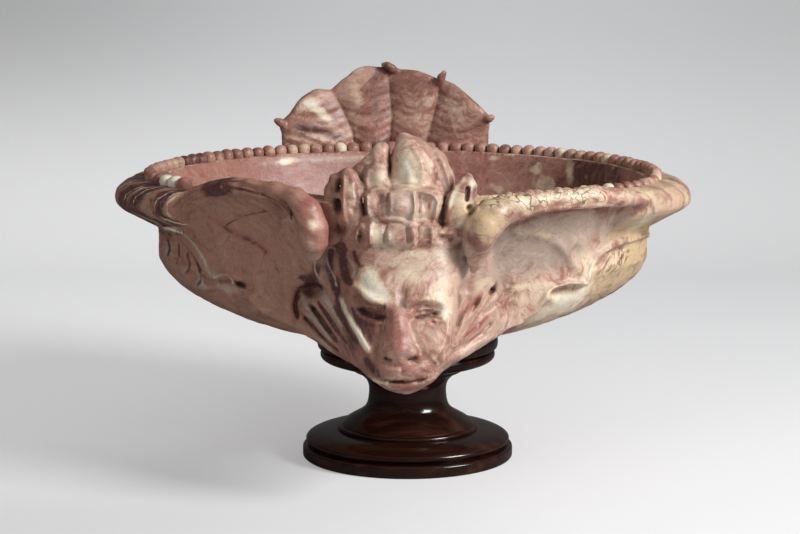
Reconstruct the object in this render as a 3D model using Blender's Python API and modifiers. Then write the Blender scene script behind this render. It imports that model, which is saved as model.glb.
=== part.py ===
"""Carved marble basin in the form of a winged beast, on a turned wooden stand.

Metres, +Z up. The beast's head faces -Y and its tail fan stands at +Y.
The origin is the middle of the stand's flat underside.
"""

import math

import bmesh
import bpy
from mathutils import Vector

MM = 0.001

# Gap left dry between two pieces that rest against each other.
SEAT_GAP = 0.35 * MM

# The stone stands a little to the left of the stand's own axis.
BASIN_X = -5.0 * MM

# Heights of the stone, from the floor.
BODY_FOOT_Z = 129.0 * MM
RIM_Z = 296.0 * MM

# Plan of the bowl: round behind, flatter in front. The front is fully flattened from this height up.
RIM_FRONT_RATIO = 0.655
FRONT_FULL_Z = 205.0 * MM

# Radii of the round back half. The others follow from the body's by named widths.
BODY_R = 255.0 * MM
LIP_WIDTH = 5.0 * MM
FLANGE_REACH = 45.0 * MM
BEAD_STEP = 8.0 * MM
FAN_INSET = 17.0 * MM
LIP_R = BODY_R - LIP_WIDTH
FLANGE_R = BODY_R + FLANGE_REACH
BEAD_RING_R = BODY_R + BEAD_STEP
FAN_R = FLANGE_R - FAN_INSET

LATHE_STEPS = 64
STAND_STEPS = 48


def clear_scene():
    for obj in list(bpy.data.objects):
        bpy.data.objects.remove(obj, do_unlink=True)


def new_collection(name, hidden=False):
    collection = bpy.data.collections.new(name)
    bpy.context.scene.collection.children.link(collection)
    collection.hide_render = hidden
    return collection


def new_material(name, colour, roughness, metallic=0.0):
    material = bpy.data.materials.new(name)
    material.use_nodes = True
    shader = material.node_tree.nodes["Principled BSDF"]
    shader.inputs["Base Color"].default_value = (*colour, 1.0)
    shader.inputs["Roughness"].default_value = roughness
    shader.inputs["Metallic"].default_value = metallic
    material.diffuse_color = (*colour, 1.0)
    return material


clear_scene()
BASIN = new_collection("winged_beast_basin")
CUTTERS = new_collection("basin_cutters", hidden=True)
MARBLE = new_material("marble", (0.34, 0.20, 0.16), 0.22)
WOOD = new_material("stand_wood", (0.030, 0.012, 0.009), 0.18)


def add_empty(name, x):
    empty = bpy.data.objects.new(name, None)
    empty.location = (x, 0.0, 0.0)
    BASIN.objects.link(empty)
    return empty


STONE_AXIS = add_empty("stone_axis", BASIN_X)
STAND_AXIS = add_empty("stand_axis", 0.0)


def add_object(name, mesh, material, parent):
    mesh.name = name
    mesh.materials.clear()
    mesh.materials.append(material)
    obj = bpy.data.objects.new(name, mesh)
    obj.parent = parent
    BASIN.objects.link(obj)
    return obj


def apply_modifiers(obj):
    """Turn the object's evaluated shape into its own mesh."""
    bpy.context.view_layer.update()
    graph = bpy.context.evaluated_depsgraph_get()
    mesh = bpy.data.meshes.new_from_object(obj.evaluated_get(graph))
    obj.modifiers.clear()
    obj.data = mesh
    mesh.name = obj.name
    return obj


def shade_by_angle(mesh, angle):
    """Smooth shading, with edges sharper than the angle kept crisp."""
    mesh.shade_smooth()
    mesh.set_sharp_from_angle(angle=angle)


def turned(name, profile, material, parent, steps=LATHE_STEPS):
    """A solid of revolution from (radius, height) pairs that run down its outer side.

    A hollow form's profile goes on up its inner side, back to where it began.
    """
    points = [(radius, 0.0, height) for radius, height in profile]
    edges = [(i, i + 1) for i in range(len(points) - 1)]
    if points[0] == points[-1]:
        points.pop()
        edges[-1] = (len(points) - 1, 0)
    on_axis = {i for i, point in enumerate(points) if point[0] == 0.0}
    edges = [edge for edge in edges if not on_axis.issuperset(edge)]
    mesh = bpy.data.meshes.new(name)
    mesh.from_pydata(points, edges, [])
    obj = add_object(name, mesh, material, parent)
    screw = obj.modifiers.new("turn", "SCREW")
    screw.axis = "Z"
    screw.steps = steps
    screw.render_steps = steps
    screw.use_merge_vertices = True
    screw.merge_threshold = 0.00005
    screw.use_normal_calculate = True
    apply_modifiers(obj)
    shade_by_angle(obj.data, math.radians(35))
    return obj


def plan(length):
    """Metres for a length across, in units of the drawing, where the body's radius is 255."""
    return length * BODY_R / 255


def height(z):
    """Metres for a height in the drawing, where the body's foot is at 129 and its rim at 296."""
    return BODY_FOOT_Z + (z - 129) * (RIM_Z - BODY_FOOT_Z) / 167


def set_out(x, y, z):
    """A point of the carving, from the drawing that all its stations are given in."""
    return Vector((plan(x), plan(y), height(z)))


def smoothstep(t):
    t = min(max(t, 0.0), 1.0)
    return t * t * (3.0 - 2.0 * t)


def front_ratio(z):
    """How far the plan is drawn in on the front half, at a height."""
    rise = smoothstep((z - BODY_FOOT_Z) / (FRONT_FULL_Z - BODY_FOOT_Z))
    return 1.0 - (1.0 - RIM_FRONT_RATIO) * rise


def flatten_front(mesh):
    for vertex in mesh.vertices:
        if vertex.co.y < 0.0:
            vertex.co.y *= front_ratio(vertex.co.z)


def split_into_triangles(mesh):
    """Fix every face's diagonal, so that a piece and the cutter copied from it match exactly."""
    shape = bmesh.new()
    shape.from_mesh(mesh)
    bmesh.ops.triangulate(shape, faces=shape.faces)
    shape.to_mesh(mesh)
    shape.free()


def loft(name, rings, material, parent):
    """A skin over rings of equally many points, with its end rings filled."""
    shape = bmesh.new()
    loops = [[shape.verts.new(point) for point in ring] for ring in rings]
    count = len(rings[0])
    for lower, upper in zip(loops, loops[1:]):
        for i in range(count):
            j = (i + 1) % count
            shape.faces.new((lower[i], lower[j], upper[j], upper[i]))
    shape.faces.new(list(reversed(loops[0])))
    shape.faces.new(loops[-1])
    bmesh.ops.recalc_face_normals(shape, faces=shape.faces)
    mesh = bpy.data.meshes.new(name)
    shape.to_mesh(mesh)
    shape.free()
    return add_object(name, mesh, material, parent)


def subdivide(obj, levels=1):
    surface = obj.modifiers.new("soften", "SUBSURF")
    surface.levels = levels
    surface.render_levels = levels
    return apply_modifiers(obj)


def free_form(obj):
    split_into_triangles(obj.data)
    shade_by_angle(obj.data, math.radians(35))
    return obj


def boxes_meet(one, other):
    """Whether the boxes round two meshes of the same parent come within the seat gap."""
    for axis in range(3):
        ours = [vertex.co[axis] for vertex in one.data.vertices]
        theirs = [vertex.co[axis] for vertex in other.data.vertices]
        if min(ours) > max(theirs) + SEAT_GAP or min(theirs) > max(ours) + SEAT_GAP:
            return False
    return True


def cut_clear_of(obj, neighbours):
    """Take the neighbours' shapes, each grown by the seat gap, out of the object.

    The exact solver loses faces on these free-form pieces, so the manifold one cuts them.
    """
    for other in neighbours:
        if not boxes_meet(obj, other):
            continue
        cutter = bpy.data.objects.new(f"clear_{other.name}", other.data.copy())
        cutter.parent = other.parent
        cutter.hide_render = True
        cutter.display_type = "WIRE"
        CUTTERS.objects.link(cutter)
        grow = cutter.modifiers.new("seat_gap", "DISPLACE")
        grow.mid_level = 0.0
        grow.strength = SEAT_GAP
        cut = obj.modifiers.new(f"clear_{other.name}", "BOOLEAN")
        cut.operation = "DIFFERENCE"
        cut.solver = "MANIFOLD"
        cut.object = cutter
        apply_modifiers(obj)
        keep_largest_piece(obj.data)
    shade_by_angle(obj.data, math.radians(35))
    return obj


def keep_largest_piece(mesh):
    """Drop chips that a cut leaves loose, and merge points that fall together."""
    shape = bmesh.new()
    shape.from_mesh(mesh)
    bmesh.ops.remove_doubles(shape, verts=shape.verts, dist=0.000004)
    unseen = set(shape.faces)
    pieces = []
    while unseen:
        piece = {unseen.pop()}
        front = list(piece)
        while front:
            here = front.pop()
            for edge in here.edges:
                for there in edge.link_faces:
                    if there not in piece:
                        piece.add(there)
                        front.append(there)
        unseen -= piece
        pieces.append(piece)
    largest = max(pieces, key=len)
    chips = [face for face in shape.faces if face not in largest]
    bmesh.ops.delete(shape, geom=chips, context="FACES")
    bmesh.ops.triangulate(shape, faces=shape.faces)
    shape.to_mesh(mesh)
    shape.free()


# The bowl is one deep turned form, drawn in at the front so that its plan is flatter there.
# Its floor is thick, and its wall thins towards the lip.
# The body's outer wall, from its foot up to the rim, as drawn (radius, height).
BODY_PROFILE = [
    (97, 129),
    (101, 136),
    (125, 142),
    (165, 154),
    (208, 171.5),
    (241, 193),
    (255, 212),
    (255, 296),
]
WELL_PROFILE = [
    (0, 154),
    (90, 157),
    (150, 169),
    (195, 192),
    (225, 226),
    (239, 262),
    (247, 290),
]


def build_bowl():
    outside = [(plan(radius), height(z)) for radius, z in BODY_PROFILE[::-1]]
    inside = [(plan(radius), height(z)) for radius, z in WELL_PROFILE]
    lip = (LIP_R, RIM_Z)
    outside = [lip] + outside + [(0.0, BODY_FOOT_Z)]
    inside.append(lip)
    bowl = turned("bowl", outside + inside, MARBLE, STONE_AXIS)
    flatten_front(bowl.data)
    return free_form(bowl)


def rim_point(radius, angle, z):
    """A point of the plan at a radius of its round back half. The front half is drawn in."""
    x = radius * math.cos(angle)
    y = radius * math.sin(angle)
    if y < 0.0:
        y *= front_ratio(z)
    return Vector((x, y, z))


# The rim flange slopes down and out all round the back and ends where the wings begin.
FLANGE_END = math.radians(-40)
FLANGE_STEPS = 52


# Its section, as shares of the reach beyond the body and of the depth below the rim.
FLANGE_SECTION = [
    (0.0, 1.0),
    (0.865, 0.6),
    (0.975, 0.495),
    (1.0, 0.37),
    (0.955, 0.225),
    (0.735, 0.06),
    (0.38, 0.0),
    (0.0, 0.0),
]
FLANGE_DEPTH = 48.5 * MM


def build_rim_flange():
    inner = BODY_R + SEAT_GAP
    section = [
        (inner + (FLANGE_R - inner) * reach, RIM_Z - FLANGE_DEPTH * drop)
        for reach, drop in FLANGE_SECTION
    ]
    rings = []
    for step in range(FLANGE_STEPS + 1):
        sweep = math.pi - 2.0 * FLANGE_END
        angle = FLANGE_END + sweep * step / FLANGE_STEPS
        rings.append([rim_point(radius, angle, z) for radius, z in section])
    return free_form(loft("rim_flange", rings, MARBLE, STONE_AXIS))


# The bead moulding is one carved string that stands on the rim, its beads joined at narrow necks.
BEAD_R = 7.0 * MM
BEAD_PITCH = 14.9 * MM
BEAD_NECK = 0.5
BEAD_LEFT_END = math.radians(180 + 36)
BEAD_RIGHT_END = math.radians(-49)
BEAD_SIDES = 6
BEAD_SINK = 0.9


def bead_path():
    """The string's middle line, with its length up to each point."""
    fine = 2000
    points, lengths = [], [0.0]
    for step in range(fine + 1):
        angle = BEAD_RIGHT_END + (BEAD_LEFT_END - BEAD_RIGHT_END) * step / fine
        z = RIM_Z + SEAT_GAP + BEAD_SINK * BEAD_R
        points.append(rim_point(BEAD_RING_R, angle, z))
        if step:
            lengths.append(lengths[-1] + (points[-1] - points[-2]).length)
    return points, lengths


def build_bead_moulding():
    points, lengths = bead_path()
    count = round(lengths[-1] / BEAD_PITCH)
    swell = [BEAD_NECK, 0.93, 0.93]
    rings = []
    nearest = 0
    for step in range(count * len(swell) + 1):
        share = (step + (0.0, -0.28, 0.28)[step % len(swell)]) / (count * len(swell))
        while nearest < len(lengths) - 2 and lengths[nearest] < share * lengths[-1]:
            nearest += 1
        centre = points[nearest]
        along = (points[min(nearest + 1, len(points) - 1)] - points[max(nearest - 1, 0)]).normalized()
        outward = along.cross(Vector((0, 0, 1)))
        radius = BEAD_R * swell[step % len(swell)]
        ring = []
        for side in range(BEAD_SIDES):
            turn = 2.0 * math.pi * side / BEAD_SIDES + math.pi / 2
            lift = max(radius * math.sin(turn), -BEAD_SINK * BEAD_R)
            ring.append(centre + outward * (radius * math.cos(turn)) + Vector((0, 0, lift)))
        rings.append(ring)
    return free_form(loft("bead_moulding", rings, MARBLE, STONE_AXIS))


# The head hangs over the front: a broad muzzle, heavy brows, a sloping forehead.
# Each slice is (height, half width, front, back), back being inside the bowl's wall.
HEAD_SLICES = [
    (113, 15, -240, -214),
    (119, 27, -249, -196),
    (128, 37, -254, -176),
    (138, 46, -255, -150),
    (150, 53, -254, -140),
    (164, 55, -249, -145),
    (178, 55, -243, -145),
    (192, 54, -238, -150),
    (206, 54, -236, -152),
    (222, 53, -231, -156),
    (238, 52, -224, -158),
    (256, 50, -217, -160),
    (258, 50, -216, -160),
]
HEAD_SIDES = 20


def face_relief(x, z):
    """How far the face stands out from the plain slices, in millimetres."""
    def swell(cx, cz, wx, wz, height):
        return height * math.exp(-(((x - cx) / wx) ** 2) - ((z - cz) / wz) ** 2)

    side = abs(x)
    relief = swell(0, 158, 13, 16, 15.0) + swell(0, 182, 9, 20, 7.0)
    for sign in (-1, 1):
        relief += swell(sign * 26, 208, 19, 8, 9.0)
        relief -= swell(sign * 26, 191, 13, 8, 8.0)
        relief += swell(sign * 37, 166, 14, 14, 5.0)
        relief -= swell(sign * 20, 160, 6, 20, 3.5)
    relief -= 5.0 * math.exp(-(((z - 139) / 3.5) ** 2)) * (1.0 if side < 28 else 0.3)
    relief += swell(0, 124, 20, 8, 4.0)
    return relief


def slice_ring(half_width, front, back, z, sides, relief=None):
    """One flat outline of the drawing, rounded like a squared oval."""
    middle = (front + back) / 2
    half_depth = (back - front) / 2
    ring = []
    for i in range(sides):
        turn = 2.0 * math.pi * i / sides
        c, s = math.cos(turn), math.sin(turn)
        x = half_width * math.copysign(abs(c) ** 0.8, c)
        y = middle + half_depth * math.copysign(abs(s) ** 0.8, s)
        if relief is not None and s < 0:
            y -= relief(x, z) * smoothstep(-1.6 * s)
        ring.append(set_out(x, y, z))
    return ring


def build_head():
    rings = []
    for z, half_width, front, back in HEAD_SLICES:
        rings.append(slice_ring(half_width, front, back, z, HEAD_SIDES, face_relief))
    return free_form(subdivide(loft("beast_head", rings, MARBLE, STONE_AXIS)))


# The crest is the beast's hood: three stepped rows of folds that rise to a peak over the rim.
CREST_SLICES = [
    (258.4, 49, -220, -162),
    (260, 50, -221, -162),
    (268, 49, -219, -162),
    (271, 45, -211, -162),
    (288, 47, -214, -162),
    (292, 44, -205, -163),
    (308, 46, -206, -154),
    (312, 41, -197, -148),
    (326, 38, -194, -143),
    (338, 30, -188, -144),
    (348, 19, -181, -150),
    (354, 9, -174, -158),
]
CREST_SIDES = 16
CREST_FOLDS = 7


def crest_relief(x, z):
    return 2.2 * math.cos(x / 46.0 * math.pi * CREST_FOLDS / 2) - 1.0


def build_crest():
    rings = []
    for z, half_width, front, back in CREST_SLICES:
        rings.append(slice_ring(half_width, front, back, z, CREST_SIDES, crest_relief))
    return free_form(subdivide(loft("hood_crest", rings, MARBLE, STONE_AXIS)))


# Each ear is a pointed leaf, scooped out in front.
EAR_HEIGHT = 66.0 * MM
EAR_SPLAY = 3.0 * MM
EAR_SWEEP = 14.0 * MM
EAR_R = 14.5 * MM
SCOOP_LIFT = 14.0 * MM


def ear_form(name, side, radius, tall, forward, lift):
    rows = [(0.0, 0.72), (0.25, 1.0), (0.5, 0.92), (0.75, 0.6), (0.93, 0.25)]
    base = set_out(3 + side * 53, -190, 262) + Vector((0.0, -forward, lift))
    tip = base + Vector((side * EAR_SPLAY, EAR_SWEEP, tall))
    rings = []
    for share, swell in rows:
        centre = base.lerp(tip, share)
        ring = []
        for i in range(10):
            turn = 2.0 * math.pi * i / 10
            offset = Vector((0.85 * math.cos(turn), math.sin(turn), 0.0)) * radius * swell
            ring.append(centre + offset)
        rings.append(ring)
    return loft(name, rings, MARBLE, STONE_AXIS)


def build_ear(name, side):
    ear = ear_form(name, side, EAR_R, EAR_HEIGHT, 0.0, 0.0)
    scoop = ear_form(f"scoop_{name}", side, 0.55 * EAR_R, 0.7 * EAR_HEIGHT, 0.75 * EAR_R, SCOOP_LIFT)
    BASIN.objects.unlink(scoop)
    CUTTERS.objects.link(scoop)
    scoop.hide_render = True
    scoop.display_type = "WIRE"
    hollow = ear.modifiers.new("hollow", "BOOLEAN")
    hollow.operation = "DIFFERENCE"
    hollow.solver = "EXACT"
    hollow.object = scoop
    return free_form(apply_modifiers(ear))


# A fold of neck fills in between the jaw and each wing, from under the bowl up to the ear.
# Each slice is (height, outer x, front beside the jaw, front at the outer side).
NECK_SLICES = [
    (132, 44, -214, -194),
    (136, 54, -219, -186),
    (146, 78, -222, -172),
    (157, 100, -221, -160),
    (172, 102, -213, -162),
    (195, 94, -206, -172),
    (225, 86, -200, -181),
    (256, 80, -194, -188),
    (262, 78, -192, -188),
]
NECK_INNER_X = 34
NECK_COLUMNS = 5
WALL_BITE = 6.0


def tube(name, route, side, material, parent, sides=12):
    """A round form whose middle and radius follow the route, mirrored to its side."""
    curve = bpy.data.curves.new(name, "CURVE")
    curve.dimensions = "3D"
    curve.bevel_depth = 1.0
    curve.bevel_resolution = sides // 4
    curve.use_fill_caps = True
    spline = curve.splines.new("POLY")
    spline.points.add(len(route) - 1)
    for point, ((x, y, z), radius) in zip(spline.points, route):
        point.co = (*set_out(side * x, y, z), 1.0)
        point.radius = plan(radius)
    helper = bpy.data.objects.new(name, curve)
    BASIN.objects.link(helper)
    bpy.context.view_layer.update()
    graph = bpy.context.evaluated_depsgraph_get()
    mesh = bpy.data.meshes.new_from_object(helper.evaluated_get(graph))
    bpy.data.objects.remove(helper, do_unlink=True)
    bpy.data.curves.remove(curve)
    shape = bmesh.new()
    shape.from_mesh(mesh)
    bmesh.ops.remove_doubles(shape, verts=shape.verts, dist=0.00001)
    bmesh.ops.recalc_face_normals(shape, faces=shape.faces)
    shape.to_mesh(mesh)
    shape.free()
    return free_form(add_object(name, mesh, material, parent))


# Each wing is a hollowed membrane that hugs the bowl from beside the head to its tip.
# Its top and lower edges are stations of (x, distance in front of the axis, height).
LEFT_WING_TOP = [
    (62, 196, 292),
    (84, 192, 295),
    (108, 187, 299),
    (130, 180, 304),
    (150, 172, 305),
    (166, 165, 304),
    (180, 158, 301),
    (192, 152, 299),
    (205, 145, 295),
    (219, 136, 287),
    (235, 118, 271),
    (250, 62, 246),
]
RIGHT_WING_TOP = [
    (62, 196, 284),
    (84, 192, 286),
    (108, 187, 288),
    (130, 180, 290),
    (150, 172, 291),
    (170, 163, 291),
    (190, 153, 291),
    (206, 145, 290),
    (220, 136, 288),
    (234, 124, 284),
    (244, 106, 268),
    (250, 62, 246),
]
WING_LOW_EDGE = [
    (62, 168, 152),
    (92, 162, 158),
    (120, 153, 166),
    (142, 146, 178),
    (152, 141, 193),
    (166, 134, 201),
    (178, 128, 202),
    (187, 123, 205),
    (196, 117, 222),
    (212, 103, 233),
    (230, 80, 238),
    (249, 42, 240),
]
WING_ROWS = 6
WING_HOLLOW = 14.0


def body_front(x, z):
    """How far in front of the axis the bowl's outer wall is, in the drawing."""
    radius = BODY_PROFILE[-1][0]
    for (near, low), (far, high) in zip(BODY_PROFILE, BODY_PROFILE[1:]):
        if z <= high:
            radius = near + (far - near) * (z - low) / (high - low)
            break
    return front_ratio(height(z)) * math.sqrt(max(radius**2 - x**2, 0.0))


def wing_point(top, low, v, hollow):
    """Outer face of the wing, from its top edge at v = 0 to its lower edge at v = 1."""
    x, y, z = (start + (end - start) * v for start, end in zip(top, low))
    y -= hollow * math.sin(math.pi * v)
    return x, max(y, body_front(x, z) + 5.0), z


def build_wing_membrane(name, side):
    top_edge = LEFT_WING_TOP if side < 0 else RIGHT_WING_TOP
    rings = []
    last = len(top_edge) - 1
    for station, (top, low) in enumerate(zip(top_edge, WING_LOW_EDGE)):
        hollow = WING_HOLLOW * math.sin(math.pi * min(station / last + 0.15, 1.0))
        outer = [wing_point(top, low, row / WING_ROWS, hollow) for row in range(WING_ROWS + 1)]
        inner = [(x, body_front(x, z) - WALL_BITE, z) for x, _, z in reversed(outer)]
        rings.append([set_out(side * x, -y, z) for x, y, z in outer + inner])
    return free_form(loft(name, rings, MARBLE, STONE_AXIS))


def build_neck_fold(name, side):
    rings = []
    for z, outer_x, near_y, far_y in NECK_SLICES:
        ring = []
        for column in range(NECK_COLUMNS):
            share = column / (NECK_COLUMNS - 1)
            x = NECK_INNER_X + (outer_x - NECK_INNER_X) * share
            y = near_y + (far_y - near_y) * share - 5.0 * math.sin(math.pi * share)
            ring.append(set_out(side * x, y, z))
        for x in (outer_x, NECK_INNER_X):
            ring.append(set_out(side * x, WALL_BITE - body_front(x, z), z))
        rings.append(ring)
    return free_form(loft(name, rings, MARBLE, STONE_AXIS))


# Each wing's arm is a roll along its top edge that ends beside the head in a blunt knuckle.
LEFT_ARM = [
    ((85, -205, 248), 9),
    ((85, -208, 257), 13),
    ((87, -209, 271), 14.5),
    ((91, -205, 285), 14),
    ((102, -198, 296), 11.5),
    ((122, -189, 303), 9.5),
    ((147, -178, 306.5), 8.5),
    ((172, -166, 304), 7.5),
    ((196, -151, 298), 6),
]
RIGHT_ARM = [
    ((71, -206, 252), 10),
    ((71, -209, 259), 14),
    ((75, -210, 270), 15.5),
    ((84, -206, 282), 15),
    ((100, -199, 290), 13),
    ((124, -190, 293), 11.5),
    ((152, -176, 294), 10.5),
    ((184, -159, 294), 10),
    ((210, -141, 292.5), 9.5),
    ((235, -120, 288), 8),
]


# The tail fan stands on the rim behind the beads: four lobes, with creases that end in curled tips.
FAN_CENTRE_X = -19.5
FAN_HALF_WIDTH = 126.0
FAN_BASE_Z = 270.0
FAN_THICK = 9.0
FAN_LEAN = 3.0
FAN_TOP = [
    (-1.0, 322), (-0.97, 331), (-0.8, 352), (-0.62, 364), (-0.5, 365), (-0.4, 378),
    (-0.2, 390), (-0.07, 391), (0.02, 401), (0.1, 391), (0.27, 387), (0.4, 379),
    (0.5, 387), (0.56, 379), (0.7, 366), (0.85, 350), (0.95, 340), (1.0, 334),
]
FAN_CREASES = (-1.0, -0.5, 0.02, 0.5, 1.0)
FAN_COLUMNS = 32
FAN_ROWS = 5


def fan_height(share):
    for (left, low), (right, high) in zip(FAN_TOP, FAN_TOP[1:]):
        if share <= right:
            return low + (high - low) * (share - left) / (right - left)
    return FAN_TOP[-1][1]


def fan_bulge(share, rise):
    """How far a lobe stands out, nil along the creases, which fan out from the base."""
    spread = share / (0.35 + 0.65 * rise)
    for left, right in zip(FAN_CREASES, FAN_CREASES[1:]):
        if left <= spread <= right:
            return 8.0 * math.sin(math.pi * (spread - left) / (right - left)) ** 0.7
    return 0.0


def build_tail_fan():
    rings = []
    for column in range(FAN_COLUMNS + 1):
        share = -1.0 + 2.0 * column / FAN_COLUMNS
        turn = share * plan(FAN_HALF_WIDTH) / FAN_R
        front, back = [], []
        for row in range(FAN_ROWS + 1):
            rise = row / FAN_ROWS
            z = FAN_BASE_Z + (fan_height(share) - FAN_BASE_Z) * rise
            bulge = fan_bulge(share, rise) * (1.0 - 0.5 * rise)
            thick = FAN_THICK * (1.0 - 0.45 * rise)
            for face, sign in ((front, -1), (back, 1)):
                radius = FAN_R + plan(FAN_LEAN * rise + sign * (thick + 0.5 * bulge))
                x = plan(FAN_CENTRE_X) + radius * math.sin(turn)
                face.append((x, radius * math.cos(turn), height(z)))
        rings.append(front + back[::-1])
    return free_form(loft("tail_fan", rings, MARBLE, STONE_AXIS))


# The stand is turned in four parts: a plinth disc, a domed foot, a waisted stem with its cup,
# and the collar that carries the stone. Each is glued to the next by a round spigot.
SPIGOT_R = 18.0 * MM
SPIGOT_LENGTH = 9.0 * MM
SPIGOT_FIT = 0.3 * MM
PLINTH_R = 111.0 * MM
FOOT_R = 107.5 * MM
CUP_R = 92.0 * MM
COLLAR_R = 95.2 * MM
PLINTH_TOP = 13.0 * MM
FOOT_TOP = 33.5 * MM
CUP_TOP = 113.0 * MM
COLLAR_TOP = BODY_FOOT_Z - SEAT_GAP


def side_of(points, radius, low, high):
    """Profile points from shares of a part's greatest radius and of its height, top first."""
    return [(radius * across, low + (high - low) * up) for across, up in points]


def spigot_down(z):
    """Profile points of a spigot that hangs below a joint at height z."""
    end = z - SPIGOT_LENGTH
    return [(SPIGOT_R, z), (SPIGOT_R, end), (0.0, end)]


def socket_up(z):
    """Profile points of the socket that takes it, from the axis out to the joint face."""
    floor = z - SPIGOT_LENGTH - SPIGOT_FIT
    bore = SPIGOT_R + SPIGOT_FIT
    return [(0.0, floor), (bore, floor), (bore, z)]


PLINTH_SIDE = [
    (0.937, 1.0),
    (0.986, 0.885),
    (1.0, 0.615),
    (1.0, 0.154),
    (0.991, 0.0),
]


def build_plinth():
    side = side_of(PLINTH_SIDE, PLINTH_R, 0.0, PLINTH_TOP)
    profile = socket_up(PLINTH_TOP) + side + [(0.0, 0.0)]
    return turned("plinth", profile, WOOD, STAND_AXIS, STAND_STEPS)


FOOT_SIDE = [
    (0.658, 1.0),
    (0.683, 0.965),
    (0.691, 0.886),
    (0.684, 0.806),
    (0.726, 0.777),
    (0.8, 0.727),
    (0.874, 0.648),
    (0.94, 0.528),
    (0.981, 0.409),
    (1.0, 0.27),
    (0.989, 0.151),
    (0.956, 0.062),
    (0.951, 0.0),
]


def build_foot():
    joint = PLINTH_TOP + SEAT_GAP
    side = side_of(FOOT_SIDE, FOOT_R, joint, FOOT_TOP)
    profile = socket_up(FOOT_TOP) + side + spigot_down(joint)
    return turned("foot", profile, WOOD, STAND_AXIS, STAND_STEPS)


STEM_SIDE = [
    (0.989, 1.0),
    (1.0, 0.962),
    (0.989, 0.918),
    (0.957, 0.883),
    (0.891, 0.854),
    (0.815, 0.826),
    (0.734, 0.8),
    (0.663, 0.775),
    (0.641, 0.742),
    (0.582, 0.707),
    (0.536, 0.666),
    (0.491, 0.602),
    (0.46, 0.526),
    (0.442, 0.426),
    (0.448, 0.381),
    (0.459, 0.28),
    (0.48, 0.229),
    (0.515, 0.194),
    (0.56, 0.159),
    (0.609, 0.127),
    (0.674, 0.084),
    (0.723, 0.046),
    (0.755, 0.015),
    (0.762, 0.0),
]


def build_stem():
    joint = FOOT_TOP + SEAT_GAP
    side = side_of(STEM_SIDE, CUP_R, joint, CUP_TOP)
    profile = socket_up(CUP_TOP) + side + spigot_down(joint)
    return turned("stem", profile, WOOD, STAND_AXIS, STAND_STEPS)


COLLAR_SIDE = [
    (0.972, 1.0),
    (0.996, 0.827),
    (1.0, 0.5),
    (0.987, 0.206),
    (0.935, 0.108),
    (0.924, 0.0),
]


def build_collar():
    joint = CUP_TOP + SEAT_GAP
    side = side_of(COLLAR_SIDE, COLLAR_R, joint, COLLAR_TOP)
    profile = [(0.0, COLLAR_TOP)] + side + spigot_down(joint)
    return turned("collar", profile, WOOD, STAND_AXIS, STAND_STEPS)


def build_stone():
    bowl = build_bowl()
    flange = build_rim_flange()
    beads = build_bead_moulding()
    head = cut_clear_of(build_head(), [bowl])
    crest = cut_clear_of(build_crest(), [bowl, head])
    for side, hand in ((-1, "left"), (1, "right")):
        ear = cut_clear_of(build_ear(f"{hand}_ear", side), [bowl, head, crest])
        fold = cut_clear_of(build_neck_fold(f"{hand}_neck_fold", side), [bowl, head, crest, ear])
        nearby = [bowl, flange, beads, head, crest, fold, ear]
        membrane = cut_clear_of(build_wing_membrane(f"{hand}_wing_membrane", side), nearby)
        route = LEFT_ARM if side < 0 else RIGHT_ARM
        arm = tube(f"{hand}_wing_arm", route, side, MARBLE, STONE_AXIS)
        cut_clear_of(arm, [bowl, flange, beads, head, crest, ear, fold, membrane])
    cut_clear_of(build_tail_fan(), [bowl, flange, beads])


def build_stand():
    build_plinth()
    build_foot()
    build_stem()
    build_collar()


build_stone()
build_stand()
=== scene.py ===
"""A basin carved from one block of breccia marble as a winged beast, on a turned wooden stand.

Metres, +Z up. The beast's head faces -Y, and its tail fan stands behind the rim at +Y.
"""

import math

import bmesh
import bpy
import numpy as np
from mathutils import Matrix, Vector


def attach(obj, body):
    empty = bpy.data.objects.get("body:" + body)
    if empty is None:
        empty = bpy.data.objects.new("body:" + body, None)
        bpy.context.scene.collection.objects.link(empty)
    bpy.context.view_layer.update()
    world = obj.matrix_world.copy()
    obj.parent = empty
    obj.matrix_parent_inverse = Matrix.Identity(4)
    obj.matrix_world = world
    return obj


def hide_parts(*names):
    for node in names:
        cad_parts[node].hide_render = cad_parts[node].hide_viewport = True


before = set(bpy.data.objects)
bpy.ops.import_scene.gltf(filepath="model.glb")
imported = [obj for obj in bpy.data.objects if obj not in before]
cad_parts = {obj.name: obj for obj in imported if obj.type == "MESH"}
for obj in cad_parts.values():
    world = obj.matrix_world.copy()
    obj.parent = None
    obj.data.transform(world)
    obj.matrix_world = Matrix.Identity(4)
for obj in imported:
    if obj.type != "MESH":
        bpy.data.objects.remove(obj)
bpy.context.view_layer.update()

# The block. The stone is one piece of marble, cut back from a solid block with point and chisel,
# then rubbed smooth. It is worked out here as distances to its surface on a grid of corners, below
# nil inside the stone. Its drawing is in millimetres, from the bowl's own axis and the floor.
MM = 0.001
STONE_X = -5.0
FINE = 1.5
COARSE = 2.8


def grid_line(low, high, fine_low, fine_high, fine, coarse):
    """Grid places from low to high, close together between the two fine ends."""
    before = np.arange(fine_low, low - coarse, -coarse)[::-1]
    middle = np.arange(fine_low + fine, fine_high, fine)
    after = np.arange(middle[-1] + coarse, high + coarse, coarse)
    return np.concatenate([before, middle, after]).astype(np.float32)


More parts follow.
